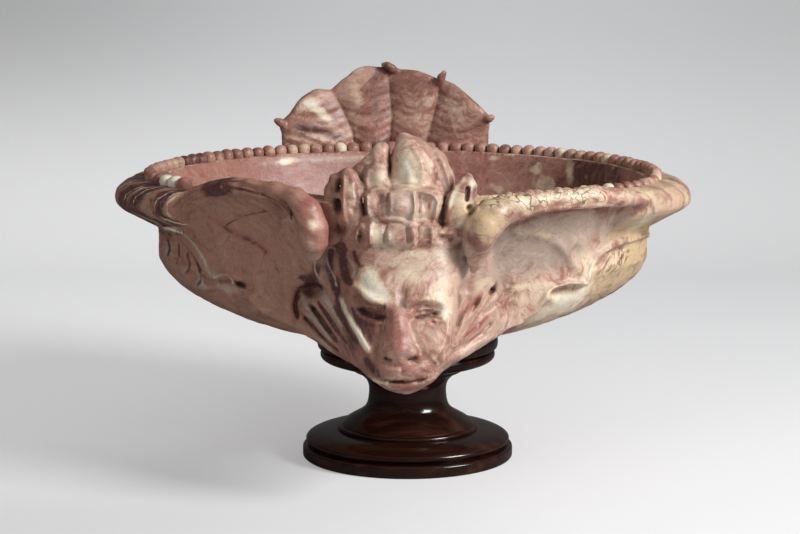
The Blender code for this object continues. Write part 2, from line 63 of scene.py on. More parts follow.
class Block:
    """The stone as a field of distances, to which forms are joined and from which others are cut."""

    def __init__(self, xs, ys, zs):
        self.xs, self.ys, self.zs = xs, ys, zs
        self.low = np.array([xs[0], ys[0], zs[0]]) + 1e-3
        self.high = np.array([xs[-1], ys[-1], zs[-1]]) - 1e-3
        self.field = np.full((len(xs), len(ys), len(zs)), 40.0, np.float32)

    def window(self, low, high):
        """The part of the grid between two corners, and the places in it."""
        spans = []
        for line, first, last in zip((self.xs, self.ys, self.zs), low, high):
            spans.append(slice(int(np.searchsorted(line, first)), int(np.searchsorted(line, last))))
        x = self.xs[spans[0]][:, None, None]
        y = self.ys[spans[1]][None, :, None]
        z = self.zs[spans[2]][None, None, :]
        return tuple(spans), x, y, z

    def join(self, form, low, high, fillet):
        """A form is added between two corners, with a hollow fillet where it meets the stone."""
        spans, x, y, z = self.window(low, high)
        self.field[spans] = union(self.field[spans], form(x, y, z), fillet)

    def cut(self, form, low, high, fillet):
        """A form is taken away between two corners, with its edge rounded."""
        spans, x, y, z = self.window(low, high)
        self.field[spans] = -union(-self.field[spans], form(x, y, z), fillet)

    def at(self, points):
        """The field between its corners."""
        place, share = [], []
        for axis, line in enumerate((self.xs, self.ys, self.zs)):
            value = points[:, axis]
            index = np.clip(np.searchsorted(line, value) - 1, 0, len(line) - 2)
            place.append(index)
            share.append((value - line[index]) / (line[index + 1] - line[index]))
        total = 0.0
        for i in (0, 1):
            for j in (0, 1):
                for k in (0, 1):
                    weight = (share[0] if i else 1 - share[0]) * (share[1] if j else 1 - share[1])
                    weight = weight * (share[2] if k else 1 - share[2])
                    total = total + weight * self.field[place[0] + i, place[1] + j, place[2] + k]
        return total

    def slope(self, points, step=1.0):
        """How fast the field rises along each axis, which points out of the stone."""
        slopes = []
        for axis in range(3):
            shift = np.zeros(3, np.float32)
            shift[axis] = step
            slopes.append((self.at(points + shift) - self.at(points - shift)) / (2 * step))
        return np.stack(slopes, axis=1)

    def skin(self):
        """Points and four-sided faces of the surface: one point in each cell that it passes through."""
        inside = self.field < 0
        corners = np.zeros(tuple(n - 1 for n in inside.shape), np.uint8)
        for i in (0, 1):
            for j in (0, 1):
                for k in (0, 1):
                    corners += part_of(inside, i, j, k)
        cells = np.argwhere((corners > 0) & (corners < 8))
        number = np.full(corners.shape, -1, np.int32)
        number[tuple(cells.T)] = np.arange(len(cells), dtype=np.int32)
        total = np.zeros((len(cells), 3))
        hits = np.zeros(len(cells))
        lines = (self.xs, self.ys, self.zs)
        for axis in range(3):
            others = [a for a in range(3) if a != axis]
            for side in ((0, 0), (0, 1), (1, 0), (1, 1)):
                near = cells.copy()
                near[:, others[0]] += side[0]
                near[:, others[1]] += side[1]
                far = near.copy()
                far[:, axis] += 1
                a = self.field[tuple(near.T)]
                b = self.field[tuple(far.T)]
                hit = (a < 0) != (b < 0)
                share = np.where(hit, a / np.where(hit, a - b, 1.0), 0.0)
                spot = np.stack([line[near[:, n]] for n, line in enumerate(lines)], axis=1).astype(float)
                end = lines[axis][far[:, axis]]
                spot[:, axis] += share * (end - spot[:, axis])
                total += spot * hit[:, None]
                hits += hit
        points = total / hits[:, None]
        faces = []
        for axis in range(3):
            others = [a for a in range(3) if a != axis]
            ahead = np.roll(inside, -1, axis=axis)
            change = inside != ahead
            trim = [slice(1, n - 1) for n in inside.shape]
            keep = np.zeros_like(change)
            keep[tuple(trim)] = change[tuple(trim)]
            edges = np.argwhere(keep)
            ring = []
            for side in ((0, 0), (0, 1), (1, 1), (1, 0)):
                cell = edges.copy()
                cell[:, others[0]] -= side[0]
                cell[:, others[1]] -= side[1]
                ring.append(number[tuple(cell.T)])
            ring = np.stack(ring, axis=1)
            flip = inside[tuple(edges.T)] == (axis == 1)
            ring[flip] = ring[flip][:, ::-1]
            faces.append(ring)
        for _ in range(2):
            gap = self.at(points)
            slope = self.slope(points)
            points -= np.clip(gap / np.maximum((slope**2).sum(axis=1), 0.2), -1.0, 1.0)[:, None] * slope
        return points, np.concatenate(faces)


def part_of(corner_values, i, j, k):
    """The corners of all cells that lie at one end of each axis."""
    ends = []
    for shift, count in zip((i, j, k), corner_values.shape):
        ends.append(slice(shift, count - 1 + shift))
    return corner_values[tuple(ends)]


def union(a, b, fillet):
    """The nearer of two forms, with a hollow fillet where they meet."""
    share = np.clip(0.5 + 0.5 * (a - b) / fillet, 0.0, 1.0)
    return a + (b - a) * share - fillet * share * (1.0 - share)


def overlap(a, b, fillet):
    """What two forms share, with a rounded edge where they meet."""
    return -union(-a, -b, fillet)


def ease(t):
    """From 0 to 1 as t does, slowly at both ends."""
    t = np.clip(t, 0.0, 1.0)
    return t * t * (3.0 - 2.0 * t)


def curve_through(points, steps=8):
    """A smooth line through the given points."""
    ring = [points[0]] + list(points) + [points[-1]]
    ring = np.array(ring, float)
    line = []
    for a, b, c, d in zip(ring, ring[1:], ring[2:], ring[3:]):
        for t in np.arange(steps) / steps:
            square = (2 * a - 5 * b + 4 * c - d) * t**2
            cube = (3 * b - a - 3 * c + d) * t**3
            line.append(0.5 * (2 * b + (c - a) * t + square + cube))
    line.append(ring[-1])
    return np.array(line)


def outline_field(outline, us, vs):
    """Distance from each place (u, v) to a closed outline, below nil inside it."""
    u, v = us[:, None].astype(float), vs[None, :].astype(float)
    nearest = np.full((len(us), len(vs)), 1e9)
    within = np.zeros(nearest.shape, bool)
    for (ua, va), (ub, vb) in zip(outline, np.roll(outline, -1, axis=0)):
        du, dv = ub - ua, vb - va
        share = np.clip(((u - ua) * du + (v - va) * dv) / max(du * du + dv * dv, 1e-9), 0.0, 1.0)
        nearest = np.minimum(nearest, (u - ua - share * du) ** 2 + (v - va - share * dv) ** 2)
        if dv != 0:
            within ^= ((va > v) != (vb > v)) & (u < du * (v - va) / dv + ua)
    return np.where(within, -1.0, 1.0) * np.sqrt(nearest)


stone = Block(
    grid_line(-304, 304, -216, 216, FINE, COARSE),
    grid_line(-264, 304, -262, -118, FINE, COARSE),
    grid_line(106, 362, 106, 362, FINE, FINE),
)

# The body. The bowl is deep, with a thick floor, and is drawn in at the front so that its plan is
# flatter there. Inside it was hollowed and polished, and outside it is round down to its foot. Its
# sections are (radius, height), and they run a little past the axis, which then lies well inside.
BODY_OUTSIDE = [(97, 129), (101, 136), (125, 142), (165, 154), (208, 171.5), (241, 193), (255, 214)]
BODY_INSIDE = [(247, 290), (239, 262), (225, 226), (195, 192), (150, 169), (90, 157), (0, 154)]
FOOT_Z = 129.0
WELL_FLOOR_Z = 154
RIM_Z = 296.0
LIP_R = 250
PAST_AXIS = -8.0
FRONT_RATIO = 0.655
FRONT_FULL_Z = 205.0


def front_ratio(z):
    """How far the front is drawn in at a height, as a share of the round back half."""
    return 1.0 - (1.0 - FRONT_RATIO) * ease((z - FOOT_Z) / (FRONT_FULL_Z - FOOT_Z))


def turned_field(outline):
    """A turned form, given by half its section, with its plan drawn in at the front."""
    radii = np.arange(PAST_AXIS, 460.0, 1.0)
    table = outline_field(outline, radii, stone.zs)

    def form(x, y, z):
        ratio = np.where(y < 0, front_ratio(z), 1.0)
        across = y / ratio
        radius = np.sqrt(x * x + across * across)
        stretch = np.sqrt(x * x + (across / ratio) ** 2) / np.maximum(radius, 1.0)
        near = np.empty(radius.shape, np.float32)
        first = int(np.searchsorted(stone.zs, z[0, 0, 0]))
        for k in range(radius.shape[2]):
            near[:, :, k] = np.interp(radius[:, :, k], radii, table[:, first + k])
        return near / np.maximum(stretch, 1.0)

    return form


body_outline = np.concatenate([
    [(PAST_AXIS, FOOT_Z)],
    curve_through(BODY_OUTSIDE),
    [(255, RIM_Z), (LIP_R, RIM_Z)],
    curve_through(BODY_INSIDE),
    [(PAST_AXIS, WELL_FLOOR_Z)],
])
FAR = 999
ALL_LOW, ALL_HIGH = (-FAR, -FAR, -FAR), (FAR, FAR, FAR)
stone.join(turned_field(body_outline), ALL_LOW, ALL_HIGH, 0.01)


def body_front(x, z):
    """How far in front of the axis the outer wall is."""
    outside = curve_through(BODY_OUTSIDE)
    radius = np.interp(z, outside[:, 1], outside[:, 0])
    return front_ratio(z) * np.sqrt(np.maximum(radius**2 - x**2, 0.0))


def bump(x, z, cx, cz, wide, tall, height, turn=0.0):
    """A soft swelling, or a hollow where the height is below nil."""
    c, s = math.cos(math.radians(turn)), math.sin(math.radians(turn))
    u = ((x - cx) * c + (z - cz) * s) / wide
    v = (-(x - cx) * s + (z - cz) * c) / tall
    return height * np.exp(-(u * u + v * v))


def stroke(x, z, line, width, height, steps=5):
    """A ridge along a line, or a groove where the height is below nil. It fades at both ends."""
    path = curve_through(line, steps)
    nearest = np.full(np.broadcast(x, z).shape, 1e9)
    strength = np.zeros(nearest.shape)
    count = len(path) - 1
    for i, ((ua, va), (ub, vb)) in enumerate(zip(path, path[1:])):
        du, dv = ub - ua, vb - va
        t = np.clip(((x - ua) * du + (z - va) * dv) / (du * du + dv * dv + 1e-9), 0.0, 1.0)
        gap = (x - ua - t * du) ** 2 + (z - va - t * dv) ** 2
        along = (i + t) / count
        faded = np.minimum(ease(along * 7), ease((1 - along) * 7))
        closer = gap < nearest
        nearest = np.where(closer, gap, nearest)
        strength = np.where(closer, faded * 0.75 + 0.25, strength)
    return height * strength * np.exp(-nearest / width**2)


# How far carving on the outer face of the front stands out at each (x, z).
relief = np.zeros((len(stone.xs), len(stone.zs)))
drawn_x = stone.xs.astype(float)[:, None]
drawn_z = stone.zs.astype(float)[None, :]


def carve(strokes=(), bumps=()):
    """Strokes are (line, width, height out). Bumps are (x, z, half width, half height, height out),
    and one that leans has its turn in degrees at the end.
    """
    for line, width, height in strokes:
        relief[:] += stroke(drawn_x, drawn_z, line, width, height)
    for row in bumps:
        relief[:] += bump(drawn_x, drawn_z, *row)


# The stone's tints beside its common dusty pink, each laid on as strokes and soft patches at (x, z)
# on the front. Cracked stone has a net of fine dark cracks, and threaded stone has slanting lines.
# A few strokes and patches are painted shade and painted highlight as well, as noted where laid.
TINTS = ("cream", "maroon", "rose", "brown", "grey", "ochre", "pale", "cracked", "threaded")
front_colours = []


def colour(tint, strokes=(), bumps=()):
    """Strokes and bumps like those of the carving, with the tint's strength for a height."""
    front_colours.append((tint, strokes, bumps))


# The rim flange slopes down and out all round the back, like a turned-down lip, and it ends where
# the wings begin. It is part of the same block, with a quirk left under it.
FLANGE_SECTION = [
    (250, 296), (272, 296), (288, 293), (298, 285), (300, 278), (299, 272), (294, 267), (275, 257),
    (250, 244),
]
FLANGE_END = math.radians(40)
flange_form = turned_field(np.array(FLANGE_SECTION, float))


def flange(x, y, z):
    """The flange, cut off at the same angle on both sides."""
    across = np.where(y < 0, y / front_ratio(z), y)
    end = -(np.abs(x) * math.sin(FLANGE_END) + across * math.cos(FLANGE_END))
    return overlap(flange_form(x, y, z), end + 0 * z, 8.0)


stone.join(flange, (-FAR, -200, 236), ALL_HIGH, 3.0)

# The wings. Each is a hollowed membrane that hugs the bowl from beside the head to its tip, with a
# scalloped lower edge whose points hang like a bat's. The hem along that edge is left proud.
WING_TOP = {
    -1: [
        (40, 198, 288), (62, 196, 292), (84, 192, 295), (108, 187, 300), (130, 180, 306),
        (150, 172, 309), (166, 165, 309), (180, 158, 307), (192, 152, 304), (205, 145, 299),
        (219, 136, 289), (235, 118, 271), (246, 84, 249), (252, 58, 244),
    ],
    1: [
        (40, 198, 284), (62, 196, 286), (84, 192, 288), (108, 187, 291), (130, 180, 293),
        (150, 172, 294), (170, 163, 294), (190, 153, 294), (206, 145, 293), (220, 136, 291),
        (234, 124, 288), (245, 106, 272), (252, 70, 244),
    ],
}
WING_LOW = {
    -1: [
        (40, 172, 140), (62, 168, 152), (92, 160, 160), (118, 150, 168), (136, 146, 176),
        (148, 143, 184), (156, 138, 193), (164, 135, 201), (171, 133, 210), (178, 130, 212),
        (185, 125, 208), (189, 122, 206), (193, 119, 217), (199, 114, 228), (208, 106, 238),
        (222, 92, 246), (238, 68, 248), (252, 50, 243),
    ],
    1: [
        (40, 172, 140), (62, 168, 152), (92, 160, 160), (116, 152, 167), (132, 148, 177),
        (140, 146, 190), (146, 143, 197), (156, 139, 201), (166, 134, 203), (176, 128, 202),
        (184, 123, 200), (188, 121, 207), (192, 119, 221), (201, 112, 231), (211, 102, 237),
        (226, 86, 240), (244, 58, 239), (252, 48, 238),
    ],
}
HEM_FROM_X = {-1: 150, 1: 136}
HEM_PROUD = 3.6
DISH_DEEP = 15
DISH_DEEP_LOSS = 6


def wing(side):
    """A wing's field: its outer face is a distance in front of the axis at each (x, z)."""
    xs = stone.xs.astype(float)
    zs = stone.zs.astype(float)
    reach = side * xs
    top = np.array(WING_TOP[side], float)
    low = np.array(WING_LOW[side], float)
    outline = np.concatenate([top[:, [0, 2]], low[::-1][:, [0, 2]]])
    outline[:, 0] *= side
    edge = outline_field(outline, xs, zs)
    top_y, top_z = (np.interp(reach, top[:, 0], top[:, n])[:, None] for n in (1, 2))
    low_y, low_z = (np.interp(reach, low[:, 0], low[:, n])[:, None] for n in (1, 2))
    fall = np.clip((top_z - zs[None, :]) / np.maximum(top_z - low_z, 6.0), -0.3, 1.3)
    away = np.clip((reach[:, None] - 60) / 190, 0, 1)
    scoop = np.sin(math.pi * np.clip(fall, 0, 1)) ** 0.8
    dish = (DISH_DEEP - DISH_DEEP_LOSS * away) * scoop * (1 - ease((reach[:, None] - 225) / 30))
    face = top_y + (low_y - top_y) * fall - dish
    x2, z2 = reach[:, None], zs[None, :]
    wall = body_front(x2, z2)
    hem = ease((x2 - HEM_FROM_X[side] + 8) / 16) * HEM_PROUD * np.exp(-((edge + 2.6) / 2.8) ** 2)
    face = np.maximum(face, wall + 1.0) + hem * (fall > 0.5)
    slope_x, slope_z = np.gradient(face, xs, zs)
    tilt = 1 / np.sqrt(1 + np.clip(slope_x**2 + slope_z**2, 0, 6))
    columns = {round(float(x), 4): i for i, x in enumerate(stone.xs)}

    def form(x, y, z):
        i = columns[round(float(x[0, 0, 0]), 4)]
        k = int(np.searchsorted(stone.zs, z[0, 0, 0]))
        box = (slice(i, i + x.shape[0]), slice(k, k + z.shape[2]))
        front, thin, rim, back = (a[box][:, None, :] for a in (face, tilt, edge, wall))
        skin = (-front - y) * thin
        sheet = overlap(skin, rim.astype(np.float32), 4.0)
        return overlap(sheet, y + back - 8.0, 2.0)

    return form


for side in (-1, 1):
    low_x, high_x = sorted((side * 36, side * 262))
    stone.join(wing(side), (low_x, -240, 134), (high_x, 0, 320), 3.0)

# The line along the left wing's hem, where its pale edge is laid with a painted highlight.
LEFT_HEM_PALE_HIGHLIGHT = [
    (-244, 250), (-237, 253), (-224, 250), (-209, 239), (-199, 226), (-193, 212), (-188, 210),
    (-172, 213),
]

# The finger bones, the hems' curls and the pockets under them.
WING_STROKES = [
    ([(103, 264), (114, 259), (134, 256), (152, 246), (165, 230), (175, 218), (182, 210)], 5.0, 2.6),
    ([(150, 198), (158, 200), (168, 200.5), (179, 199)], 2.2, -3.6),
    ([(184, 211), (188, 221), (196, 230), (208, 235), (226, 239), (246, 240)], 2.2, 2.6),
    ([(188, 214), (193, 223), (201, 229), (214, 232), (230, 234)], 2.6, -4.0),
    ([(-204, 222), (-202, 204), (-196, 192)], 2.6, 2.2),
    ([(-172, 266), (-159, 274), (-139, 281), (-121, 284)], 1.6, -1.8),
    ([(-192, 272), (-180, 265), (-172, 258), (-158, 253), (-142, 245)], 3.0, -1.2),
    ([(-247, 243), (-232, 242), (-215, 231), (-206, 218), (-198, 205), (-188, 203), (-170, 206)], 2.8, -4.0),
    ([(-252, 232), (-240, 228), (-230, 232)], 2.5, -2.5),
    ([(-236, 214), (-226, 222), (-214, 218)], 2.4, -2.2),
    ([(-222, 203), (-212, 208), (-208, 200)], 2.2, -2.0),
    ([(-196, 186), (-186, 192), (-176, 190)], 2.4, -1.8),
    ([(-186, 200), (-170, 203), (-158, 199)], 2.0, 2.0),
]
WING_BUMPS = [
    (200, 256, 26, 20, -2.6), (134, 224, 26, 18, -2.8), (146, 190, 6, 5.5, 3.6),
    (197, 224, 8, 6, -5.0, 40), (151, 197, 4, 4, -3.0), (162, 188, 14, 7, 2.0, 10),
    (215, 216, 12, 7, 2.5, 35), (-158, 203, 9, 4.5, -5.0, -25), (-150, 255, 34, 22, -3.0, 20),
    (-208, 262, 18, 12, -2.0), (-244, 236, 5, 5, 3.4), (-232, 223, 7, 5, 3.2), (-222, 212, 5, 6, 3.0),
    (-216, 225, 5, 4, 2.4), (-206, 197, 7, 5, 3.0), (-240, 219, 4, 4, -3.0), (-193, 196, 4, 4, 2.4),
    (-178, 184, 9, 4, 1.8, 20), (-227, 218, 3.5, 4, -3.0), (-213, 205, 4, 4, -2.6),
    (-248, 228, 4, 5, 2.4),
]
carve(WING_STROKES, WING_BUMPS)
colour("brown", bumps=[
    (-190, 262, 62, 46, 1.3, -20), (-140, 307, 54, 16, 1.6), (-130, 225, 60, 50, 1.0),
    # The brown at (197, 224), in the pocket under the right hem, and at (154, 196), in the pit below it, is
    # painted shade as well as darker stone.
    (-150, 180, 90, 30, 0.7, 20), (-215, 225, 40, 40, 0.8), (197, 224, 8, 7, 1.4, 40),
    (154, 196, 9, 3, 1.2),
])
colour("maroon", [
    ([(-196, 274), (-186, 268), (-176, 261), (-168, 256), (-160, 254)], 2.2, 0.6),
    ([(-160, 252), (-150, 249), (-140, 243), (-132, 236)], 3.4, 0.6),
    ([(-176, 262), (-164, 270), (-148, 277), (-124, 283)], 1.0, 1.0),
    # This maroon stroke just under the left hem is a painted shadow of the hem.
    ([(-250, 243), (-232, 243), (-215, 231), (-206, 218), (-198, 205), (-188, 203), (-170, 206)], 1.8, 0.9),
    ([(-166, 306), (-148, 304), (-132, 300), (-116, 293), (-106, 282)], 1.6, 0.8),
    ([(-214, 300), (-196, 308), (-176, 312), (-150, 312)], 2.0, 0.6),
    ([(-128, 226), (-116, 214), (-108, 206), (-98, 204)], 2.0, 0.5),
    ([(-240, 240), (-238, 229), (-241, 220)], 1.6, 0.9),
    ([(-228, 238), (-227, 224), (-232, 212)], 1.8, 1.0),
    ([(-218, 230), (-215, 216), (-221, 204)], 1.8, 1.0),
    ([(-206, 214), (-203, 203), (-209, 194)], 1.6, 0.9),
    # This maroon stroke down the pocket under the right hem is painted shade as well as dark stone.
    ([(190, 217), (195, 225), (203, 229)], 2.0, 0.9),
], [
    (-160, 204, 12, 5, 0.8, -25), (-184, 303, 16, 9, 0.8),
])
colour("rose", [
    ([(-198, 276), (-184, 267), (-170, 258), (-156, 252), (-140, 245), (-130, 234)], 5.0, 1.3),
    ([(-176, 262), (-160, 272), (-140, 280), (-122, 284)], 3.0, 0.8),
], [
    (-190, 306, 20, 8, 1.2), (-200, 190, 50, 12, 0.6, 30), (-120, 262, 12, 24, 0.5),
    (146, 191, 6, 6, 1.3), (150, 226, 20, 12, 0.4),
])
colour("ochre", [
    ([(-152, 301), (-138, 298), (-124, 292), (-112, 282)], 2.0, 0.5),
    ([(104, 262), (124, 260), (146, 254)], 2.4, 0.9), ([(150, 212), (166, 214), (180, 216)], 2.6, 0.9),
    ([(140, 202), (150, 206), (166, 206)], 2.0, 0.7),
], [
    (216, 215, 40, 26, 1.2, 30), (150, 172, 80, 22, 1.1, 20), (238, 236, 20, 26, 1.0),
])
colour("cream", [
    # Along the left hem the cream is partly a painted highlight on its proud edge.
    (LEFT_HEM_PALE_HIGHLIGHT, 2.2, 0.5), ([(-188, 208), (-184, 198)], 1.6, 0.6),
    ([(-172, 212), (-169, 202)], 1.6, 0.6), ([(-240, 248), (-236, 252), (-228, 250)], 3.0, 0.5),
    ([(206, 232), (194, 226), (186, 216), (182, 209)], 3.0, 0.8),
    ([(247, 238), (226, 236), (210, 232)], 3.0, 0.6), ([(100, 207), (112, 204), (124, 206)], 3.5, 0.6),
    ([(110, 240), (124, 238), (140, 236)], 3.0, 0.3),
], [
    (184, 226, 8, 12, 0.7, 30), (170, 250, 16, 12, 0.35), (182, 200, 12, 8, 0.7, 20),
    (118, 192, 24, 9, 0.6), (236, 262, 14, 12, 0.5), (150, 176, 44, 11, 0.8, 20),
    (160, 190, 18, 8, 0.45),
])
colour("grey", [
    # Along the left hem the grey is partly a painted highlight on its proud edge.
    (LEFT_HEM_PALE_HIGHLIGHT, 3.6, 1.0), ([(-206, 224), (-204, 204), (-197, 192)], 2.5, 0.6),
], [
    (170, 262, 66, 22, 1.2), (108, 246, 34, 20, 1.0), (-188, 205, 24, 16, 0.35), (90, 222, 20, 14, 0.8),
    (146, 228, 40, 20, 0.9), (-238, 226, 9, 9, 0.9), (-222, 210, 9, 7, 0.9), (-205, 194, 10, 6, 0.8),
    (-176, 196, 12, 6, 0.9), (-150, 176, 30, 6, 0.6, 20),
])
colour("pale", bumps=[(170, 225, 90, 70, 1.0), (150, 180, 80, 26, 0.8, 20)])
colour("threaded", bumps=[
    (212, 220, 26, 16, 1.6, 35), (90, 190, 30, 14, 0.9, 30), (160, 176, 60, 14, 0.7, 20),
])

# The wing arms. Each wing's upper edge is rolled over its arm bone, which ends beside the head in a
# blunt knuckle.
ARMS = {
    -1: [
        ((86, -203, 246), 8), ((85, -207, 256), 12.5), ((87, -209, 270), 14.5), ((92, -205, 285), 14),
        ((103, -198, 296), 11.5), ((122, -189, 303), 9.5), ((147, -178, 306), 8),
        ((172, -166, 304), 6.5), ((196, -151, 298), 5),
    ],
    1: [
        ((66, -200, 228), 4), ((68, -203, 238), 8), ((70, -206, 251), 12), ((72, -209, 262), 15),
        ((77, -209, 272), 16), ((86, -205, 282), 15), ((101, -199, 290), 13.5), ((124, -190, 293), 12),
        ((152, -176, 294), 11.5), ((186, -157, 294), 10.5), ((212, -139, 292), 9),
        ((238, -117, 286), 7.5),
    ],
}


def limb(route, squash=(1.0, 1.0, 1.0), fillet=5.0):
    """A round form whose thickness changes along its route."""
    scale = np.array(squash, np.float32)

    def form(x, y, z):
        whole = None
        for (start, r0), (end, r1) in zip(route, route[1:]):
            a = np.array(start, np.float32) / scale
            b = np.array(end, np.float32) / scale
            along = b - a
            px, py, pz = (place / size - base for place, size, base in zip((x, y, z), scale, a))
            t = np.clip((px * along[0] + py * along[1] + pz * along[2]) / (along @ along), 0.0, 1.0)
            gap = np.sqrt((px - t * along[0]) ** 2 + (py - t * along[1]) ** 2 + (pz - t * along[2]) ** 2)
            piece = (gap - (r0 + t * (r1 - r0))) * scale.min()
            whole = piece if whole is None else union(whole, piece, fillet)
        return whole

    return form


def join_limb(route, fillet, squash=(1.0, 1.0, 1.0), cut=False, margin=14):
    """A limb is added to the stone, or cut from it, in the window that it lies in."""
    places = np.array([place for place, _ in route], float)
    most = max(radius for _, radius in route) + margin
    work = stone.cut if cut else stone.join
    work(limb(route, squash), places.min(axis=0) - most, places.max(axis=0) + most, fillet)


for side, route in ARMS.items():
    join_limb([((side * x, y, z), radius) for (x, y, z), radius in route], 5.0)

WRINKLES = 10
WRINKLE_PITCH = 9.6
ARM_STROKES = [
    ([
        (-160, 309), (-149, 308), (-137, 305), (-125, 300), (-113, 295), (-106, 287), (-102, 276),
        (-100, 266),
    ], 2.0, -3.6),
    ([(-134, 297), (-122, 291), (-114, 281), (-110, 270), (-103, 260)], 2.6, -3.0),
    ([(-128, 300), (-116, 292), (-109, 280), (-105, 268)], 2.4, 2.0),
    ([(98, 262), (104, 268), (116, 273), (128, 279), (150, 282), (180, 282), (212, 279)], 2.8, -3.2),
    ([(110, 276), (124, 284), (150, 287), (180, 287), (212, 284)], 2.0, 1.6),
]
for n in range(WRINKLES):
    x = 86 + WRINKLE_PITCH * n
    ARM_STROKES.append(([(x, 308), (x + 0.5, 304), (x + 1, 300)], 1.6, -1.6))
carve(ARM_STROKES)
colour("cracked", bumps=[
    (150, 299, 70, 11, 1.7), (104, 292, 16, 12, 1.0), (80, 262, 16, 22, 0.35),
])
colour("cream", bumps=[
    (-85, 277, 5, 6, 0.8), (-88, 258, 6, 9, 0.45), (96, 288, 20, 8, 0.6), (150, 298, 66, 8, 0.75),
])
colour("rose", [
    ([(-98, 293), (-86, 299), (-76, 290), (-70, 274), (-71, 258), (-78, 248)], 4.0, 1.5),
], [
    (-84, 262, 12, 24, 0.7), (-94, 288, 12, 10, 0.9), (72, 240, 10, 12, 0.6), (62, 262, 5, 14, 0.5),
])
colour("brown", bumps=[(-90, 270, 16, 30, 0.5)])
colour("maroon", [
    ([(-188, 312), (-182, 302), (-176, 296)], 9.0, 0.6),
], [
    (-177, 306, 14, 7, 0.9),
])
colour("ochre", bumps=[
    (90, 282, 26, 16, 1.2), (150, 297, 90, 11, 1.3), (76, 260, 14, 20, 0.8),
])
colour("pale", bumps=[(90, 282, 34, 18, 0.9), (160, 296, 90, 12, 1.0)])

# The neck. Folds of skin fill in between the jaw and each wing, from under the bowl to the ears.
# Each slice is (height, outer edge, front beside the jaw, front at the outer edge).
NECK_SLICES = np.array([
    (126, 30, -216, -200), (132, 44, -219, -194), (136, 54, -219, -186), (146, 76, -222, -174),
    (157, 94, -219, -166), (172, 100, -213, -164), (195, 95, -206, -172), (225, 87, -200, -181),
    (252, 80, -194, -187), (268, 76, -190, -186), (284, 70, -180, -176),
], float)
NECK_INNER_X = 34
NECK_LOW_Z = 128
NECK_HIGH_Z = 276
NECK_BACK_Y = -130


def neck(x, y, z):
    """Both folds of the neck, each a sheet that runs back from the jaw to the wing."""
    reach = np.abs(x)
    outer, near, far = (np.interp(z, NECK_SLICES[:, 0], NECK_SLICES[:, n]) for n in (1, 2, 3))
    share = np.clip((reach - NECK_INNER_X) / (outer - NECK_INNER_X), 0, 1.2)
    front = near + (far - near) * share - 4.0 * np.sin(math.pi * np.clip(share, 0, 1))
    sheet = overlap(front - y, reach - outer, 12.0)
    sheet = overlap(sheet, np.maximum(z - NECK_HIGH_Z, NECK_LOW_Z - z), 8.0)
    return overlap(sheet, y - NECK_BACK_Y + 0 * x, 2.0) * 0.85


stone.join(neck, (-120, -250, 118), (120, -110, 296), 9.0)
NECK_STROKES = [
    ([(50, 154), (63, 158), (75, 164), (88, 175)], 1.9, -5.0),
    ([(44, 149), (57, 152), (68, 157), (82, 164)], 2.4, -4.0),
    ([(56, 163), (65, 176), (73, 187), (82, 200)], 2.4, -3.6),
    ([(50, 172), (57, 187), (65, 201)], 2.4, -2.8), ([(62, 182), (72, 196), (80, 212)], 1.8, -2.4),
    ([(76, 182), (92, 192), (106, 206)], 2.2, -2.0), ([(68, 186), (78, 198), (90, 212)], 2.0, 2.2),
    ([(46, 158), (60, 164), (76, 173)], 1.6, 2.2), ([(58, 160), (70, 170), (80, 182)], 2.8, 2.0),
    ([(60, 205), (64, 225), (64, 245)], 5.0, -2.6),
    ([(-102, 200), (-106, 187), (-103, 174)], 3.0, -7.0),
    ([(-90, 190), (-81, 179), (-73, 169), (-63, 157)], 2.8, -5.5),
    ([(-98, 177), (-87, 168), (-75, 157), (-62, 148)], 2.8, -4.5),
    ([(-96, 192), (-86, 179), (-73, 165)], 2.6, 3.0), ([(-82, 192), (-72, 178), (-62, 166)], 2.4, 2.2),
    ([(-66, 205), (-70, 225), (-70, 250)], 5.0, -5.0),
]
NECK_BUMPS = [
    (-90, 203, 13, 5, -12.0, 8), (-80, 208, 8, 5, -6.0, -30), (-102, 196, 3, 5, -4.0),
    (84, 203, 7.5, 3.6, -8.0, 55), (70, 193, 7, 3, -6.0, 60), (-98, 186, 3, 6, 4.0),
]
carve(NECK_STROKES, NECK_BUMPS)
# The left fold lies in shade: the maroon along its grooves and in its deep pit is painted shade as well as
# dark stone.
colour("maroon", [
    ([(-76, 236), (-84, 222), (-92, 208), (-96, 196)], 8.0, 0.8),
    ([(-102, 202), (-106, 187), (-103, 172)], 2.4, 1.1),
    ([(-90, 191), (-81, 179), (-73, 169), (-62, 156)], 2.0, 1.3),
    ([(-98, 178), (-87, 168), (-75, 157), (-60, 147)], 1.9, 1.2),
    ([(-84, 197), (-74, 184), (-64, 170), (-52, 156)], 1.8, 1.2),
    ([(-66, 205), (-70, 225), (-70, 250)], 4.0, 1.0), ([(-104, 216), (-92, 212), (-78, 206)], 4.0, 0.9),
], [
    (-84, 176, 22, 18, 0.3, -40), (-90, 204, 12, 5, 0.6, 8),
])
colour("cream", [
    ([(-74, 242), (-72, 230), (-66, 220), (-64, 208)], 1.6, 0.7),
    ([(-82, 240), (-86, 228), (-80, 216)], 1.3, 0.6),
], [
    (78, 212, 14, 12, 0.5),
])
